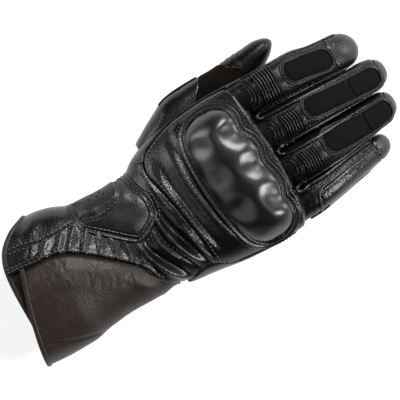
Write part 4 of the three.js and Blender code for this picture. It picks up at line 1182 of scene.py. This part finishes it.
guard_skin = gloss_material("guard_skin", (0.003, 0.0028, 0.0027), rough=(0.28, 0.35), coat=0.15)
guard_line = closed_line(GUARD_OUTLINE, 900)
guard_net = plate_net(guard_line, GUARD_ENDS, GUARD_ACROSS, GUARD_ALONG)
guard_share = crest_share(guard_net, GUARD_CREST, guard_line)
guard_x, guard_y = guard_net[..., 0], guard_net[..., 1]
guard_z = top_height(HAND, guard_x, guard_y) + guard_lift(guard_x, guard_y, guard_share)
shell_top = np.dstack([guard_x, guard_y, guard_z])
under_rim = np.array([0, 0, GUARD_RIM + GUARD_SINK])
shell_net = np.concatenate([shell_top[:1] - under_rim, shell_top, shell_top[-1:] - under_rim])


def shell_piece(name, points, material, thickness):
    """A plate from a net that may close to a point at its ends, so its doubles are merged before its wall."""
    piece = make_piece(name, points, net_faces(*points.shape[:2]), material)
    weld = piece.modifiers.new("weld", "WELD")
    weld.merge_threshold = WELD_DISTANCE * MM
    add_wall(piece, thickness)
    settle(piece)
    piece.data.shade_smooth()
    return piece


knuckle_guard = shell_piece("guard_shell", shell_net, guard_skin, GUARD_THICKNESS)
attach(knuckle_guard, "guard_shell", "knuckle_guard")

# The section of the guard's border, outwards from the rim and up: two cords with a dip between.
GUARD_BORDER = [(-0.6, -0.3), (-0.6, 1.6), (-0.1, 2.5), (0.6, 2.7), (1.3, 2.3), (1.8, 1.4), (2.4, 1.0),
                (3.0, 1.4), (3.6, 1.9), (4.2, 1.9), (4.7, 1.4), (5.1, 0.6), (5.3, -0.3)]


def border(name, form, line, section, material):
    """A strip round a closed line in plan. Its section is sideways from the line and up from the leather."""
    return make_piece(name, *sweep(*line_on(form, line), section, closed=True), material)


border_line = closed_line(GUARD_OUTLINE, 300)
border_ahead = np.roll(border_line, -1, 0)
border_area = np.sum(border_line[:, 0] * border_ahead[:, 1] - border_line[:, 1] * border_ahead[:, 0])
outward_side = 1 if border_area > 0 else -1
guard_section = [(outward_side * out, up) for out, up in GUARD_BORDER]
guard_border = border("guard_border", HAND, border_line, guard_section, black_leather)
attach(guard_border, "leather", "guard_piping")

# Fingers.
# Each finger is a tube of leather that curls as it is cut, with a smooth cap at its end. Cords of piping
# stand in the seams between them and loop round the roots of the gaps, and ribs and raised arcs lie over the
# joints of the three longer ones. Columns: y, middle x and z, half width and half height.
INDEX = {
    "name": "index", "tip_y": 136.5, "tip_length": 14, "tip_power": 2.2, "seam_y": 117.5,
    "rows": np.array([
        (36, -32.4, 31.5, 12.4, 11), (62, -32.4, 34.5, 13.1, 11.8), (78, -32.2, 33, 13.2, 11.7),
        (92, -31.9, 29, 13.5, 11.4), (107, -29.9, 22.2, 12.4, 11), (120, -28.9, 14.6, 12.3, 10.6),
        (137, -28, 4.6, 11.8, 9.6),
    ], dtype=float),
}
MIDDLE = {
    "name": "middle", "tip_y": 145, "tip_length": 13, "tip_power": 2.2, "seam_y": 139.6,
    "rows": np.array([
        (36, -5.6, 34, 12.3, 11.6), (62, -5.8, 35, 12.8, 11.8), (80, -5.4, 33.6, 12.6, 11.7),
        (96, -5, 29.6, 12.2, 11.4), (112, -4.6, 22.6, 11.7, 11), (128, -4.4, 13.6, 11.3, 10.4),
        (145, -4.6, 4, 11, 9.4),
    ], dtype=float),
}
RING = {
    "name": "ring", "tip_y": 139.8, "tip_length": 12, "tip_power": 2.2, "seam_y": 134.6,
    "rows": np.array([
        (36, 21.6, 33.4, 12.6, 11.4), (62, 21.2, 34.2, 13, 11.7), (78, 21, 32.8, 12.7, 11.6),
        (92, 20.3, 29, 12.4, 11.2), (106, 19.1, 22.6, 11.5, 10.8), (122, 17.9, 13.4, 10.8, 10.2),
        (139, 17.1, 4.2, 10.5, 9.2),
    ], dtype=float),
}
LITTLE = {
    "name": "little", "tip_y": 123.5, "tip_length": 11, "tip_power": 2.2, "seam_y": 112.5,
    "rows": np.array([
        (36, 47, 31, 10.4, 10.4), (60, 46.2, 31.4, 10.6, 10.8), (74, 45, 29.6, 9.5, 10.6),
        (88, 42.8, 25, 9.1, 10.2), (100, 41, 19, 8.8, 9.8), (112, 39.4, 12, 8.6, 9.2),
        (124, 38.2, 4.6, 8.2, 8.2),
    ], dtype=float),
}
FINGERS = [INDEX, MIDDLE, RING, LITTLE]
finger_leather = leather_material("finger_leather", (0.0007, 0.0006, 0.0007), (0.0022, 0.002, 0.002),
                                  rough=(0.27, 0.37), specular=0.19)
FINGER_STEP = 0.8
FINGER_CAP_ROWS = 26
FINGER_THICKNESS = 1.4
FINGER_ROOT_Y = 46
# Where a finger bends: the place along it, how far its creases reach and how strong they are.
FINGER_BENDS = [{"y": 97, "reach": 9, "share": 1}, {"y": 60, "reach": 8, "share": 0.7}]
FINGER_CREASE = {"height": 0.3, "pace": 1.35, "waver": 2.2, "wavers_round": 3, "lean": 0.2, "on_top": 0.3}
FINGER_SEAM = {"width": 1.2, "depth": 0.45}
# A gusset's swelling: the gap that it leaves, its most, its half width in radians, and how far from the tip
# it ends and is full.
GUSSET = {"gap": 0.03, "most": 1.4, "half_width": 0.6, "tip_space": (13, 20)}
FINGER_TOP_ANGLES = np.radians(np.arange(205, -25, -2.8))
FINGER_LOW_ANGLES = np.radians(np.arange(-28, -154, -9))
FINGER_ANGLES = np.concatenate([FINGER_TOP_ANGLES, FINGER_LOW_ANGLES])


def gusset_fill(form, angle, y):
    """How far the gussets swell so that neighbouring fingers touch and no light comes through."""
    place = FINGERS.index(form)
    x, _, wide, _, _, _ = oval(form, y)
    total = np.zeros_like(angle)
    for neighbour, side in ((place + 1, 1), (place - 1, -1)):
        if not 0 <= neighbour < len(FINGERS):
            continue
        other = FINGERS[neighbour]
        other_x, _, other_wide, _, _, _ = oval(other, y)
        gap = side * (other_x - x) - wide - other_wide
        tip = min(form["tip_y"], other["tip_y"])
        reach = np.clip(gap / 2 - GUSSET["gap"], 0, GUSSET["most"]) * step_in(tip - y, *GUSSET["tip_space"])
        turn = angle if side == 1 else np.arctan2(np.sin(angle - math.pi), np.cos(angle - math.pi))
        total = total + reach * np.exp(-((turn / GUSSET["half_width"]) ** 2))
    return total


def finger_relief(form, angle, y):
    """Creases where the finger bends, deeper on its sides, and the swelling of its gussets."""
    x = skin(form, angle, y)[..., 0]
    bend = sum(joint["share"] * np.exp(-(((y - joint["y"]) / joint["reach"]) ** 2)) for joint in FINGER_BENDS)
    side = 1 - np.clip(np.sin(angle), 0, 1)
    size = FINGER_CREASE
    waver = size["waver"] * np.sin(angle * size["wavers_round"])
    waves = np.sin(y * size["pace"] + waver + x * size["lean"])
    crease = size["height"] * waves * bend * (size["on_top"] + side)
    fill = gusset_fill(form, angle, y) if form in FINGERS else 0
    return crease + fill + 0.13 * unevenness(x * 1.8, y * 1.8)


def finger_tube(name, form, y0, y1, closed_end, material, first_seam=0.0, last_seam=0.0):
    """A stretch of a finger as a walled tube, or as a cap that closes at the tip. A seam that doesn't run
    straight round adds its own shift along the finger at each angle."""
    start, length = form["tip_y"] - form["tip_length"], form["tip_length"]
    ys = np.arange(y0, min(y1, start), FINGER_STEP)
    if y1 > start:
        first, last = np.arcsin(np.clip([(y0 - start) / length, (y1 - start) / length], 0, 0.9995))
        ys = np.concatenate([ys, start + length * np.sin(np.linspace(first, last, FINGER_CAP_ROWS))])
    else:
        ys = np.append(ys, y1)
    angle, y = np.meshgrid(FINGER_ANGLES, ys)
    along = (y - y0) / (y1 - y0)
    y = y + first_seam * (1 - along) + last_seam * along
    lift = finger_relief(form, angle, y)
    from_seam = y - y[:1] if closed_end else np.minimum(y - y[:1], y[-1:] - y)
    turn_in = np.sqrt(np.clip(1 - from_seam / FINGER_SEAM["width"], 0, 1)) ** 3
    points = skin(form, angle, y, lift - FINGER_SEAM["depth"] * turn_in)
    around = len(FINGER_ANGLES)
    faces = net_faces(len(ys), around, closed=True)
    verts = points.reshape(-1, 3)
    if closed_end:
        pole = len(verts)
        verts = np.vstack([verts, points[-1].mean(0) + (0, 0.05, 0)])
        faces += [[pole - around + k, pole - around + (k + 1) % around, pole] for k in range(around)]
    return make_piece(name, verts, faces, material, FINGER_THICKNESS)


for form in FINGERS:
    tube = finger_tube(f"{form['name']}_tube", form, FINGER_ROOT_Y, form["seam_y"], False, finger_leather)
    attach(tube, "leather", f"{form['name']}_finger")
    cap = finger_tube(f"{form['name']}_cap", form, form["seam_y"], form["tip_y"], True, black_leather)
    attach(cap, "leather", f"{form['name']}_tip_cap")

# Piping in the finger seams. For each gap: the finger on its thumb's side with the angle of its seam, the
# finger on the other side with its own, and the path round the root of the gap.
GAPS = [
    {"node": "index_middle_piping", "before": INDEX, "before_angle": 16, "after": MIDDLE, "after_angle": 134,
     "root": [(-19.6, 57), (-18.6, 54.2), (-16.6, 54.6), (-15.6, 58)]},
    {"node": "middle_ring_piping", "before": MIDDLE, "before_angle": 28, "after": RING, "after_angle": 124,
     "root": [(6.9, 57.4), (8, 54.8), (10.4, 55.2), (12.2, 58.6)]},
    {"node": "ring_little_piping", "before": RING, "before_angle": 14, "after": LITTLE, "after_angle": 136,
     "root": [(34.4, 56.4), (35.8, 53.2), (38, 53.4), (39.2, 57.4)]},
]
GAP_PIPING_RADIUS = 1.1
GAP_PIPING_LIFT = 0.7
SEAM_PIPING_RADIUS = 0.8
SEAM_POINTS = 90
GAP_POINTS = 260
GAP_END = {"points": 24, "sink": 1.8}  # at its ends a cord sinks into the leather
GAP_ROOT_Y = 60
GAP_ROOT_RISE = 0.5  # the cord stands this much higher round the root
GAP_TIP_SPACE = 11


def seam_up_finger(form, degrees, y0, y1, lift):
    """A seam along a finger, with its normals."""
    y = np.linspace(y0, y1, SEAM_POINTS)
    return surface_frame(form, np.column_stack([np.full(SEAM_POINTS, math.radians(degrees)), y]), lift)


def smooth_space(points, count):
    """Evenly spaced points on a softened line in space."""
    line = evenly(points, count)
    for _ in range(6):
        line[1:-1] = 0.25 * line[:-2] + 0.5 * line[1:-1] + 0.25 * line[2:]
    return line


def gap_line(gap, lift, inset=0.0):
    """The seam's line, down one finger, round the root of the gap and up the next, with its normals."""
    before, after = gap["before"], gap["after"]
    before_angle, after_angle = gap["before_angle"] + inset, gap["after_angle"] - inset
    before_tip, after_tip = before["tip_y"] - GAP_TIP_SPACE, after["tip_y"] - GAP_TIP_SPACE
    down, down_normal = seam_up_finger(before, before_angle, before_tip, GAP_ROOT_Y, lift)
    up, up_normal = seam_up_finger(after, after_angle, GAP_ROOT_Y + 1, after_tip, lift)
    root = smooth_line(gap["root"], 24)
    height = np.maximum.reduce([top_height(form, root[:, 0], root[:, 1]) for form in (HAND, before, after)])
    root_points = np.column_stack([root, height + lift + GAP_ROOT_RISE])
    root_normal = np.tile([0.0, 0.0, 1.0], (len(root), 1))
    line = smooth_space(np.vstack([down, root_points, up]), GAP_POINTS)
    normals = smooth_space(np.vstack([down_normal, root_normal, up_normal]), GAP_POINTS)
    place = np.arange(GAP_POINTS)[:, None]
    to_end = np.minimum(place, place[::-1])
    sink = GAP_END["sink"] * np.clip(1 - to_end / GAP_END["points"], 0, 1) ** 2
    return line - sink * normals, normals


for gap in GAPS:
    cord = piping(f"{gap['node']}_cord", [gap_line(gap, GAP_PIPING_LIFT)], GAP_PIPING_RADIUS, black_leather)
    attach(cord, "leather", gap["node"])

BACK_THUMB_CORD_LIFT = 0.1
INDEX_OUTER_SEAM = {"degrees": 157, "y0": FINGER_ROOT_Y, "y1": 126, "lift": 0.3}
index_outer = piping("thumb_side_piping", [
    line_on(HAND, smooth_line(BACK_THUMB_SEAM, 160), BACK_THUMB_CORD_LIFT),
    seam_up_finger(INDEX, **INDEX_OUTER_SEAM),
], SEAM_PIPING_RADIUS, black_leather)
attach(index_outer, "leather")

# The cord along the outer side of the little finger runs out into the leather before it reaches the cap.
LITTLE_OUTER_SEAM = {"degrees": -4, "y0": 52, "y1": 110}
LITTLE_CORD_END = {"y": 98, "lift": 0.4, "sink": 1.5}
little_cord_y = np.linspace(LITTLE_OUTER_SEAM["y0"], LITTLE_OUTER_SEAM["y1"], SEAM_POINTS)
little_cord_fade = step_in(little_cord_y, LITTLE_CORD_END["y"], LITTLE_OUTER_SEAM["y1"])
little_cord_lift = LITTLE_CORD_END["lift"] - LITTLE_CORD_END["sink"] * little_cord_fade
little_cord = seam_up_finger(LITTLE, lift=little_cord_lift, **LITTLE_OUTER_SEAM)
little_outer = piping("little_outer_piping", [little_cord], SEAM_PIPING_RADIUS, black_leather)
attach(little_outer, "leather")

# Stretch ribs over the finger joints: leather sewn over elastic, which draws it up into narrow ridges.
RIBS = [
    {"node": "index_ribs", "form": INDEX, "y0": 63, "y1": 77.5, "from": 152, "to": 40},
    {"node": "middle_ribs", "form": MIDDLE, "y0": 65, "y1": 79, "from": 118, "to": 38},
    {"node": "ring_ribs", "form": RING, "y0": 64, "y1": 77.5, "from": 112, "to": 34},
]
RIB_COUNT = 7
RIB_HEIGHT = 1.5
RIB_BASE = 0.6
RIB_EDGE_SINK = 0.3
RIB_BOW = 1.6  # the middle of a rib lies this far ahead of its ends
RIB_WAVER = {"share": 0.012, "across": 9, "along": 3}
RIB_POWER = 0.75  # below 1 the ridges are round and the valleys between them narrow
RIB_FADE = {"side": 9, "end": 14}  # the ridges fall off within one part in so many of the patch
RIB_THICKNESS = 0.8
RIB_NET = (130, 60)
for patch in RIBS:
    v, u = np.meshgrid(np.linspace(0, 1, RIB_NET[0]), np.linspace(0, 1, RIB_NET[1]), indexing="ij")
    y = patch["y0"] + (patch["y1"] - patch["y0"]) * v + RIB_BOW * (1 - (2 * u - 1) ** 2)
    angle = np.radians(patch["from"] + (patch["to"] - patch["from"]) * u)
    waver = RIB_WAVER["share"] * np.sin(RIB_WAVER["across"] * u + RIB_WAVER["along"] * v)
    wave = np.abs(np.sin(math.pi * RIB_COUNT * (v + waver))) ** RIB_POWER
    side_fade = np.sqrt(np.clip(np.minimum(u, 1 - u) * RIB_FADE["side"], 0, 1))
    end_fade = np.sqrt(np.clip(np.minimum(v, 1 - v) * RIB_FADE["end"], 0, 1))
    lift = side_fade * end_fade * (RIB_BASE + RIB_HEIGHT * wave) - RIB_EDGE_SINK
    points = skin(patch["form"], angle, y, lift)
    ribs = make_piece(f"{patch['node']}_leather", points, net_faces(*RIB_NET), black_leather, RIB_THICKNESS)
    attach(ribs, "leather", patch["node"])

# Raised arcs round the knuckles, each a cord under the leather. They open towards the hand. Each row: the
# middle of the arcs, and the half width and the height of each.
KNUCKLE_ARCS = [
    {"form": INDEX, "middle": (-33.6, 54.6), "arcs": [(10.6, 7.6), (8, 5.4), (5.4, 3.4)]},
    {"form": MIDDLE, "middle": (-4.4, 56.4), "arcs": [(9, 7.6), (6.4, 5.2), (3.8, 3)]},
    {"form": RING, "middle": (22.6, 56), "arcs": [(8.4, 6.8), (5.6, 4.4)]},
]
ARC_RADIUS = 0.75
ARC_LIFT = 0.15
ARC_POWER = 0.8
for arcs in KNUCKLE_ARCS:
    lines = []
    for half_width, height in arcs["arcs"]:
        turn = np.linspace(0, math.pi, 60)
        c, s = np.cos(turn), np.sin(turn)
        x = arcs["middle"][0] + half_width * np.sign(c) * np.abs(c) ** ARC_POWER
        y = arcs["middle"][1] + height * s**ARC_POWER
        lines.append(line_on(arcs["form"], evenly(np.stack([x, y], axis=-1), 60), ARC_LIFT))
    cords = piping(f"{arcs['form']['name']}_knuckle_arcs", lines, ARC_RADIUS, finger_leather)
    attach(cords, "leather")

# Stretch cloth on the fingers.
# Matte woven cloth over thin foam, set into the top of the three longer fingers, each in a double border of
# piping. Rows: y, middle x and half width. A pad with a seam is two pieces of cloth, one on each side of it.
CLOTH_PADS = [
    {"name": "index", "form": INDEX, "nodes": ["index_textile_pad"], "seam": None,
     "rows": [(85, -33, 6.6), (100, -31.2, 6.7), (116.4, -28.6, 6.4)]},
    {"name": "middle", "form": MIDDLE, "nodes": ["middle_textile_pad", "middle_tip_pad"], "seam": 117.7,
     "rows": [(85, -6.2, 6.7), (100, -4.8, 6.5), (117.7, -3.4, 6.2), (138.4, -2.6, 6.2)]},
    {"name": "ring", "form": RING, "nodes": ["ring_textile_pad", "ring_tip_pad"], "seam": 115.6,
     "rows": [(85, 19.7, 7.6), (100, 20.9, 7.2), (115.6, 21.2, 6.6), (134.2, 19.5, 6.2)]},
]
CLOTH = {"rim": 0.35, "crown": 1.2, "slope": 3.2, "corner": 5.2}
CLOTH_SEAM = {"half_width": 0.6, "depth": 1.1}
CLOTH_NET = (150, 44)
CLOTH_THICKNESS = 0.5
# The section of the border round the cloth, outwards and up: two cords with a dip between.
CLOTH_BORDER = [(0.1, -0.5), (0.1, 0.7), (0.4, 1.2), (0.9, 1.25), (1.3, 0.8), (1.65, 0.35), (2.0, 0.6),
                (2.5, 1.1), (3.0, 0.95), (3.3, 0.2), (3.4, -0.5)]


def cloth_material():
    """A close weave: two sets of threads crossing, in matte black with a faint blue."""
    material, nodes, links, shader = new_material("stretch_cloth")
    shader.inputs["Roughness"].default_value = 0.95
    shader.inputs["Specular IOR Level"].default_value = 0.06
    place = nodes.new("ShaderNodeTexCoord").outputs["Object"]
    weave = nodes.new("ShaderNodeMath")
    weave.operation = "MULTIPLY"
    for slot, degrees in enumerate((45, 135)):
        mapping = nodes.new("ShaderNodeMapping")
        mapping.inputs["Rotation"].default_value = (0, 0, math.radians(degrees))
        links.new(place, mapping.inputs["Vector"])
        threads = nodes.new("ShaderNodeTexWave")
        threads.inputs["Scale"].default_value = 230
        threads.inputs["Distortion"].default_value = 1.6
        threads.inputs["Detail"].default_value = 1
        links.new(mapping.outputs["Vector"], threads.inputs["Vector"])
        links.new(threads.outputs["Fac"], weave.inputs[slot])
    height = weave.outputs["Value"]
    # The colour follows the weave's height: painted shade, darker where the threads lie low between the
    # others.
    add_tint(nodes, links, shader, height, (0.0018, 0.0019, 0.0022), (0.006, 0.0064, 0.0074))
    links.new(add_bump(nodes, links, height, 0.0003, 0.6), shader.inputs["Normal"])
    return material


def cloth_rows(pad, count):
    """Y, middle x and half width of a pad with rounded corners, at levels that are closer near its ends."""
    rows = np.array(pad["rows"], dtype=float)
    y0, y1 = rows[0, 0], rows[-1, 0]
    y = y0 + (y1 - y0) * (1 - np.cos(np.linspace(0, math.pi, count))) / 2
    middle, half = np.moveaxis(row_values(rows, y), -1, 0)
    into = np.clip(np.minimum(y - y0, y1 - y) / CLOTH["corner"], 0, 1)
    return y, middle, half - CLOTH["corner"] * (1 - np.sqrt(1 - (1 - into) ** 2))


def cloth_outline(pad):
    """The closed outline of a pad in plan."""
    y, middle, half = cloth_rows(pad, 120)
    right, left = np.stack([middle + half, y], -1), np.stack([middle - half, y], -1)
    return evenly(np.vstack([right, left[::-1], right[:1]]), 201)[:-1]


def cloth_lift(pad, outline, place):
    gap = edge_distance(place, outline)
    puff = CLOTH["rim"] + CLOTH["crown"] * (1 - (1 - np.clip(gap / CLOTH["slope"], 0, 1)) ** 2)
    if pad["seam"]:
        puff = puff + groove(place[..., 1] - pad["seam"], CLOTH_SEAM)
    return puff


stretch_cloth = cloth_material()
for pad in CLOTH_PADS:
    outline = cloth_outline(pad)
    y, middle, half = cloth_rows(pad, CLOTH_NET[0])
    v = np.sin(np.linspace(-math.pi / 2, math.pi / 2, CLOTH_NET[1]))[None]
    net = np.dstack([middle[:, None] + v * half[:, None], np.broadcast_to(y[:, None], CLOTH_NET)])
    angle = angle_over(pad["form"], net[..., 0], net[..., 1])
    points = skin(pad["form"], angle, net[..., 1], cloth_lift(pad, outline, net))
    seam_row = int(np.abs(y - pad["seam"]).argmin()) if pad["seam"] else len(y) - 1
    for node, part in zip(pad["nodes"], (points[:seam_row + 1], points[seam_row:])):
        cloth = shell_piece(f"{node}_cloth", part, stretch_cloth, CLOTH_THICKNESS)
        attach(cloth, "textile", node)
    piped = border(f"{pad['name']}_cloth_border", pad["form"], outline, CLOTH_BORDER, finger_leather)
    attach(piped, "leather")

# Outer panel of the little finger.
# A plain strip of leather, bare here, sewn on over the outer half of the finger. A cord of piping runs along
# its root and its inner edge. Angles are in degrees.
LITTLE_PANEL = {"y0": 66, "y1": 110, "from": 96, "to": -18, "lift": 0.7, "slant": 4, "thickness": 0.9}
LITTLE_PANEL_SIZE = {"across": 18, "along": 44, "rim": 1.4}
LITTLE_PANEL_FALL = 0.9  # how much of its height the panel loses towards the tip
LITTLE_PANEL_CORD_LIFT = 0.4
LITTLE_PANEL_NET = (96, 70)
LITTLE_PANEL_CORD = [(6, 61), (50, 62), (86, 65), (103, 70), (103, 88), (103, 112)]
v, u = np.meshgrid(*[np.linspace(0, 1, count) for count in LITTLE_PANEL_NET], indexing="ij")
panel_y = LITTLE_PANEL["y0"] + (LITTLE_PANEL["y1"] - LITTLE_PANEL["y0"]) * v
panel_y = panel_y + LITTLE_PANEL["slant"] * (1 - v) * (u - 0.5)
panel_angle = np.radians(LITTLE_PANEL["from"] + (LITTLE_PANEL["to"] - LITTLE_PANEL["from"]) * u)
rim_gap = np.minimum(np.minimum(u, 1 - u) * LITTLE_PANEL_SIZE["across"],
                     np.minimum(v, 1 - v) * LITTLE_PANEL_SIZE["along"])
panel_rise = np.sqrt(np.clip(rim_gap / LITTLE_PANEL_SIZE["rim"], 0.02, 1)) * (1 - LITTLE_PANEL_FALL * v**2)
panel_lift = LITTLE_PANEL["lift"] * panel_rise + 0.1 * unevenness(panel_y, panel_angle * 9)
panel_points = skin(LITTLE, panel_angle, panel_y, panel_lift)
little_panel = make_piece("little_panel_leather", panel_points, net_faces(*LITTLE_PANEL_NET), black_leather,
                          LITTLE_PANEL["thickness"])
attach(little_panel, "leather", "little_outer_panel")
panel_cord = smooth_line([(math.radians(degrees), y) for degrees, y in LITTLE_PANEL_CORD], 140)
panel_cord_line = surface_frame(LITTLE, panel_cord, LITTLE_PANEL_CORD_LIFT)
panel_piping = piping("little_panel_piping", [panel_cord_line], SEAM_PIPING_RADIUS, black_leather)
attach(panel_piping, "leather")

# Thumb.
# It lies beside the hand: a leather base, a brown suede insert at the joint where it bends, and a smooth tip,
# sewn together end to end. Columns as for the fingers.
THUMB = {
    "tip_y": 88, "tip_length": 13, "tip_power": 2.1,
    "rows": np.array([
        (-26, -30, 14.5, 12, 13.5), (-6, -39.5, 14, 14, 14.6), (8, -45, 13.4, 14.6, 14),
        (28, -47.7, 12.6, 13.4, 13), (45, -48.6, 12, 12.4, 12.3), (60, -50.7, 11.4, 11.5, 11.8),
        (74, -53.8, 10.8, 9.3, 11), (87, -57.2, 10.2, 6.8, 10.4),
    ], dtype=float),
}
THUMB_ROOT_Y = -24
THUMB_BASE_Y = 30
THUMB_INSERT_Y = 55
# The seams on both sides of the insert lean: their shift along the thumb from its outer to its inner side.
THUMB_SEAM_SHIFT = {"across": [-1, -0.5, 0, 1], "base": [4.6, 1.2, -5.2, -6], "tip": [-4.6, -1, 5, 6]}
THUMB_PIPING_RADIUS = 0.75
suede = leather_material("brown_suede", (0.0022, 0.0014, 0.0009), (0.0052, 0.0033, 0.0022),
                         rough=(0.85, 0.95), specular=0.06, grain=0.0003, crease=0.0012, crease_size=70)
thumb_across = np.cos(FINGER_ANGLES)
base_shift = np.interp(thumb_across, THUMB_SEAM_SHIFT["across"], THUMB_SEAM_SHIFT["base"])
tip_shift = np.interp(thumb_across, THUMB_SEAM_SHIFT["across"], THUMB_SEAM_SHIFT["tip"])
thumb_base = finger_tube("thumb_base_leather", THUMB, THUMB_ROOT_Y, THUMB_BASE_Y, False, black_leather,
                         last_seam=base_shift)
attach(thumb_base, "leather", "thumb_base")
thumb_insert = finger_tube("thumb_suede", THUMB, THUMB_BASE_Y, THUMB_INSERT_Y, False, suede,
                           first_seam=base_shift, last_seam=tip_shift)
attach(thumb_insert, "palm_suede", "thumb_insert")
thumb_tip = finger_tube("thumb_cap", THUMB, THUMB_INSERT_Y, THUMB["tip_y"], True, finger_leather,
                        first_seam=tip_shift)
attach(thumb_tip, "leather", "thumb_tip")

# The thumb's seams: one down the outer edge of its base and one that leans outwards over its tip.
THUMB_BASE_SEAM = {"degrees": 165, "y0": 2, "y1": 33, "lift": 0.3}
THUMB_TIP_SEAM = [(-51.6, 60.5), (-53, 65), (-54.7, 71), (-56.2, 77), (-57, 81.5)]
THUMB_TIP_LIFT = 0.2
thumb_outer = piping("thumb_piping", [
    seam_up_finger(THUMB, **THUMB_BASE_SEAM),
    line_on(THUMB, smooth_line(THUMB_TIP_SEAM, 60), THUMB_TIP_LIFT),
], THUMB_PIPING_RADIUS, black_leather)
attach(thumb_outer, "leather")

# Stitches.
# The seams that show are topstitched with a bonded black thread, about three stitches to the centimetre.
# Finer thread holds the borders and the fingers.
STITCH = {"pitch": 3.0, "length": 2.2, "thickness": 0.85}
FINE_STITCH = {"pitch": 2.6, "length": 1.8, "thickness": 0.5}


def thread_material():
    """Twisted thread with a slight shine."""
    material, nodes, links, shader = new_material("black_thread")
    shader.inputs["Base Color"].default_value = (0.04, 0.039, 0.038, 1)
    shader.inputs["Roughness"].default_value = 0.45
    place = nodes.new("ShaderNodeTexCoord").outputs["Object"]
    twist = add_bump(nodes, links, add_noise(nodes, links, place, 1600, 2), 0.0001, 1)
    links.new(twist, shader.inputs["Normal"])
    return material


def stitch_tree(material):
    """Lines in, rows of stitches out."""
    tree, sockets = start_tree("stitch_rows", STITCH)
    nodes, links = tree.nodes, tree.links
    source = nodes.new("NodeGroupInput")
    curve = nodes.new("GeometryNodeMeshToCurve")
    links.new(source.outputs["Geometry"], curve.inputs["Mesh"])
    places = nodes.new("GeometryNodeCurveToPoints")
    places.mode = "LENGTH"
    links.new(curve.outputs["Curve"], places.inputs["Curve"])
    links.new(source.outputs["pitch"], places.inputs["Length"])
    bead = nodes.new("GeometryNodeMeshUVSphere")
    bead.inputs["Segments"].default_value = 6
    bead.inputs["Rings"].default_value = 5
    bead.inputs["Radius"].default_value = 0.5
    shape = nodes.new("ShaderNodeCombineXYZ")
    links.new(source.outputs["thickness"], shape.inputs["X"])
    links.new(source.outputs["thickness"], shape.inputs["Y"])
    links.new(source.outputs["length"], shape.inputs["Z"])
    copies = nodes.new("GeometryNodeInstanceOnPoints")
    links.new(places.outputs["Points"], copies.inputs["Points"])
    links.new(places.outputs["Rotation"], copies.inputs["Rotation"])
    links.new(bead.outputs["Mesh"], copies.inputs["Instance"])
    links.new(shape.outputs["Vector"], copies.inputs["Scale"])
    end_tree(tree, copies.outputs["Instances"], material)
    return tree, sockets


stitching, stitch_sockets = stitch_tree(thread_material())


def stitch_rows(name, lines, sizes=STITCH):
    """Rows of stitches along lines of points in millimetres."""
    points = np.vstack(lines)
    edges, start = [], 0
    for line in lines:
        edges += [(i, i + 1) for i in range(start, start + len(line) - 1)]
        start += len(line)
    return attach(grow(name, points, edges, stitching, stitch_sockets, sizes), "leather")


WRIST_SEAM = [(11, -40.8), (24, -38.4), (35, -33.2), (47, -27)]
ROW_RISE = 0.3
# How far each row lies from its seam or rim. A row on a border also has its height over the leather.
BACK_ROWS = {"wrist": -2.3, "thumb": 2.2}
BAND_SEAM_ROWS = (-1.6, 1.8)
PAD_RIM_ROWS = [(2.1, 0.9), (6.2, 0.2)]
GUARD_RIM_ROWS = [(2.4, 1.3), (6.6, 0.1)]
CLOTH_RIM_ROW = (1.65, 0.45)
GAP_ROW = {"lift": 0.15, "inset": 13}  # beside a finger's seam, in degrees round the finger
INDEX_ROW = {"degrees": 144, "y0": 52, "y1": 128, "lift": 0.1}


def row_on_hand(line, relief, offset):
    """A row of stitches beside a line in plan, on the leather as its relief leaves it."""
    angle, y = on_top(HAND, beside(smooth_line(line, 220), offset)).T
    lift = relief(skin(HAND, angle, y)[:, 0], y, angle) + ROW_RISE
    return skin(HAND, angle, y, lift)


def row_beside(points, normals, ahead, sideways, up):
    """A row of stitches beside a line on the leather, given the line's own direction."""
    across = np.cross(ahead, normals)
    across = across / np.linalg.norm(across, axis=1, keepdims=True)
    return points + sideways * across + up * normals


def ring_row(form, line, sideways, up):
    """A row of stitches round a closed line in plan."""
    points, normals = line_on(form, line)
    return row_beside(points, normals, np.roll(points, -1, 0) - np.roll(points, 1, 0), sideways, up)


stitch_rows("back_stitching", [
    row_on_hand(BACK_WRIST_SEAM, back_relief, BACK_ROWS["wrist"]),
    row_on_hand(BACK_THUMB_SEAM, back_relief, BACK_ROWS["thumb"]),
    row_on_hand(WRIST_SEAM, wrist_relief, 0.0),
])
stitch_rows("cuff_stitching", [
    *[row_on_hand(FLAP_SEAM, band_relief, -place) for place in FLAP_SEAM_ROWS],
    *[row_on_hand(BAND_SEAM, band_relief, place) for place in BAND_SEAM_ROWS],
])
pad_channel_row = row_on_hand(PAD_CHANNEL, pad_relief, 0.0)
pad_channel_row[:, 2] += pad_swell(pad_channel_row)
pad_rim_ahead = np.gradient(pad_rim_points, axis=0)
stitch_rows("wrist_pad_stitching", [
    pad_channel_row,
    *[row_beside(pad_rim_points, pad_rim_normals, pad_rim_ahead, *place) for place in PAD_RIM_ROWS],
])
stitch_rows("guard_border_stitching", [
    ring_row(HAND, border_line, outward_side * out, up) for out, up in GUARD_RIM_ROWS
], FINE_STITCH)
stitch_rows("cloth_pad_stitching", [
    ring_row(pad["form"], cloth_outline(pad), *CLOTH_RIM_ROW) for pad in CLOTH_PADS
], FINE_STITCH)
stitch_rows("finger_stitching", [
    *[gap_line(gap, **GAP_ROW)[0] for gap in GAPS],
    seam_up_finger(INDEX, **INDEX_ROW)[0],
], FINE_STITCH)
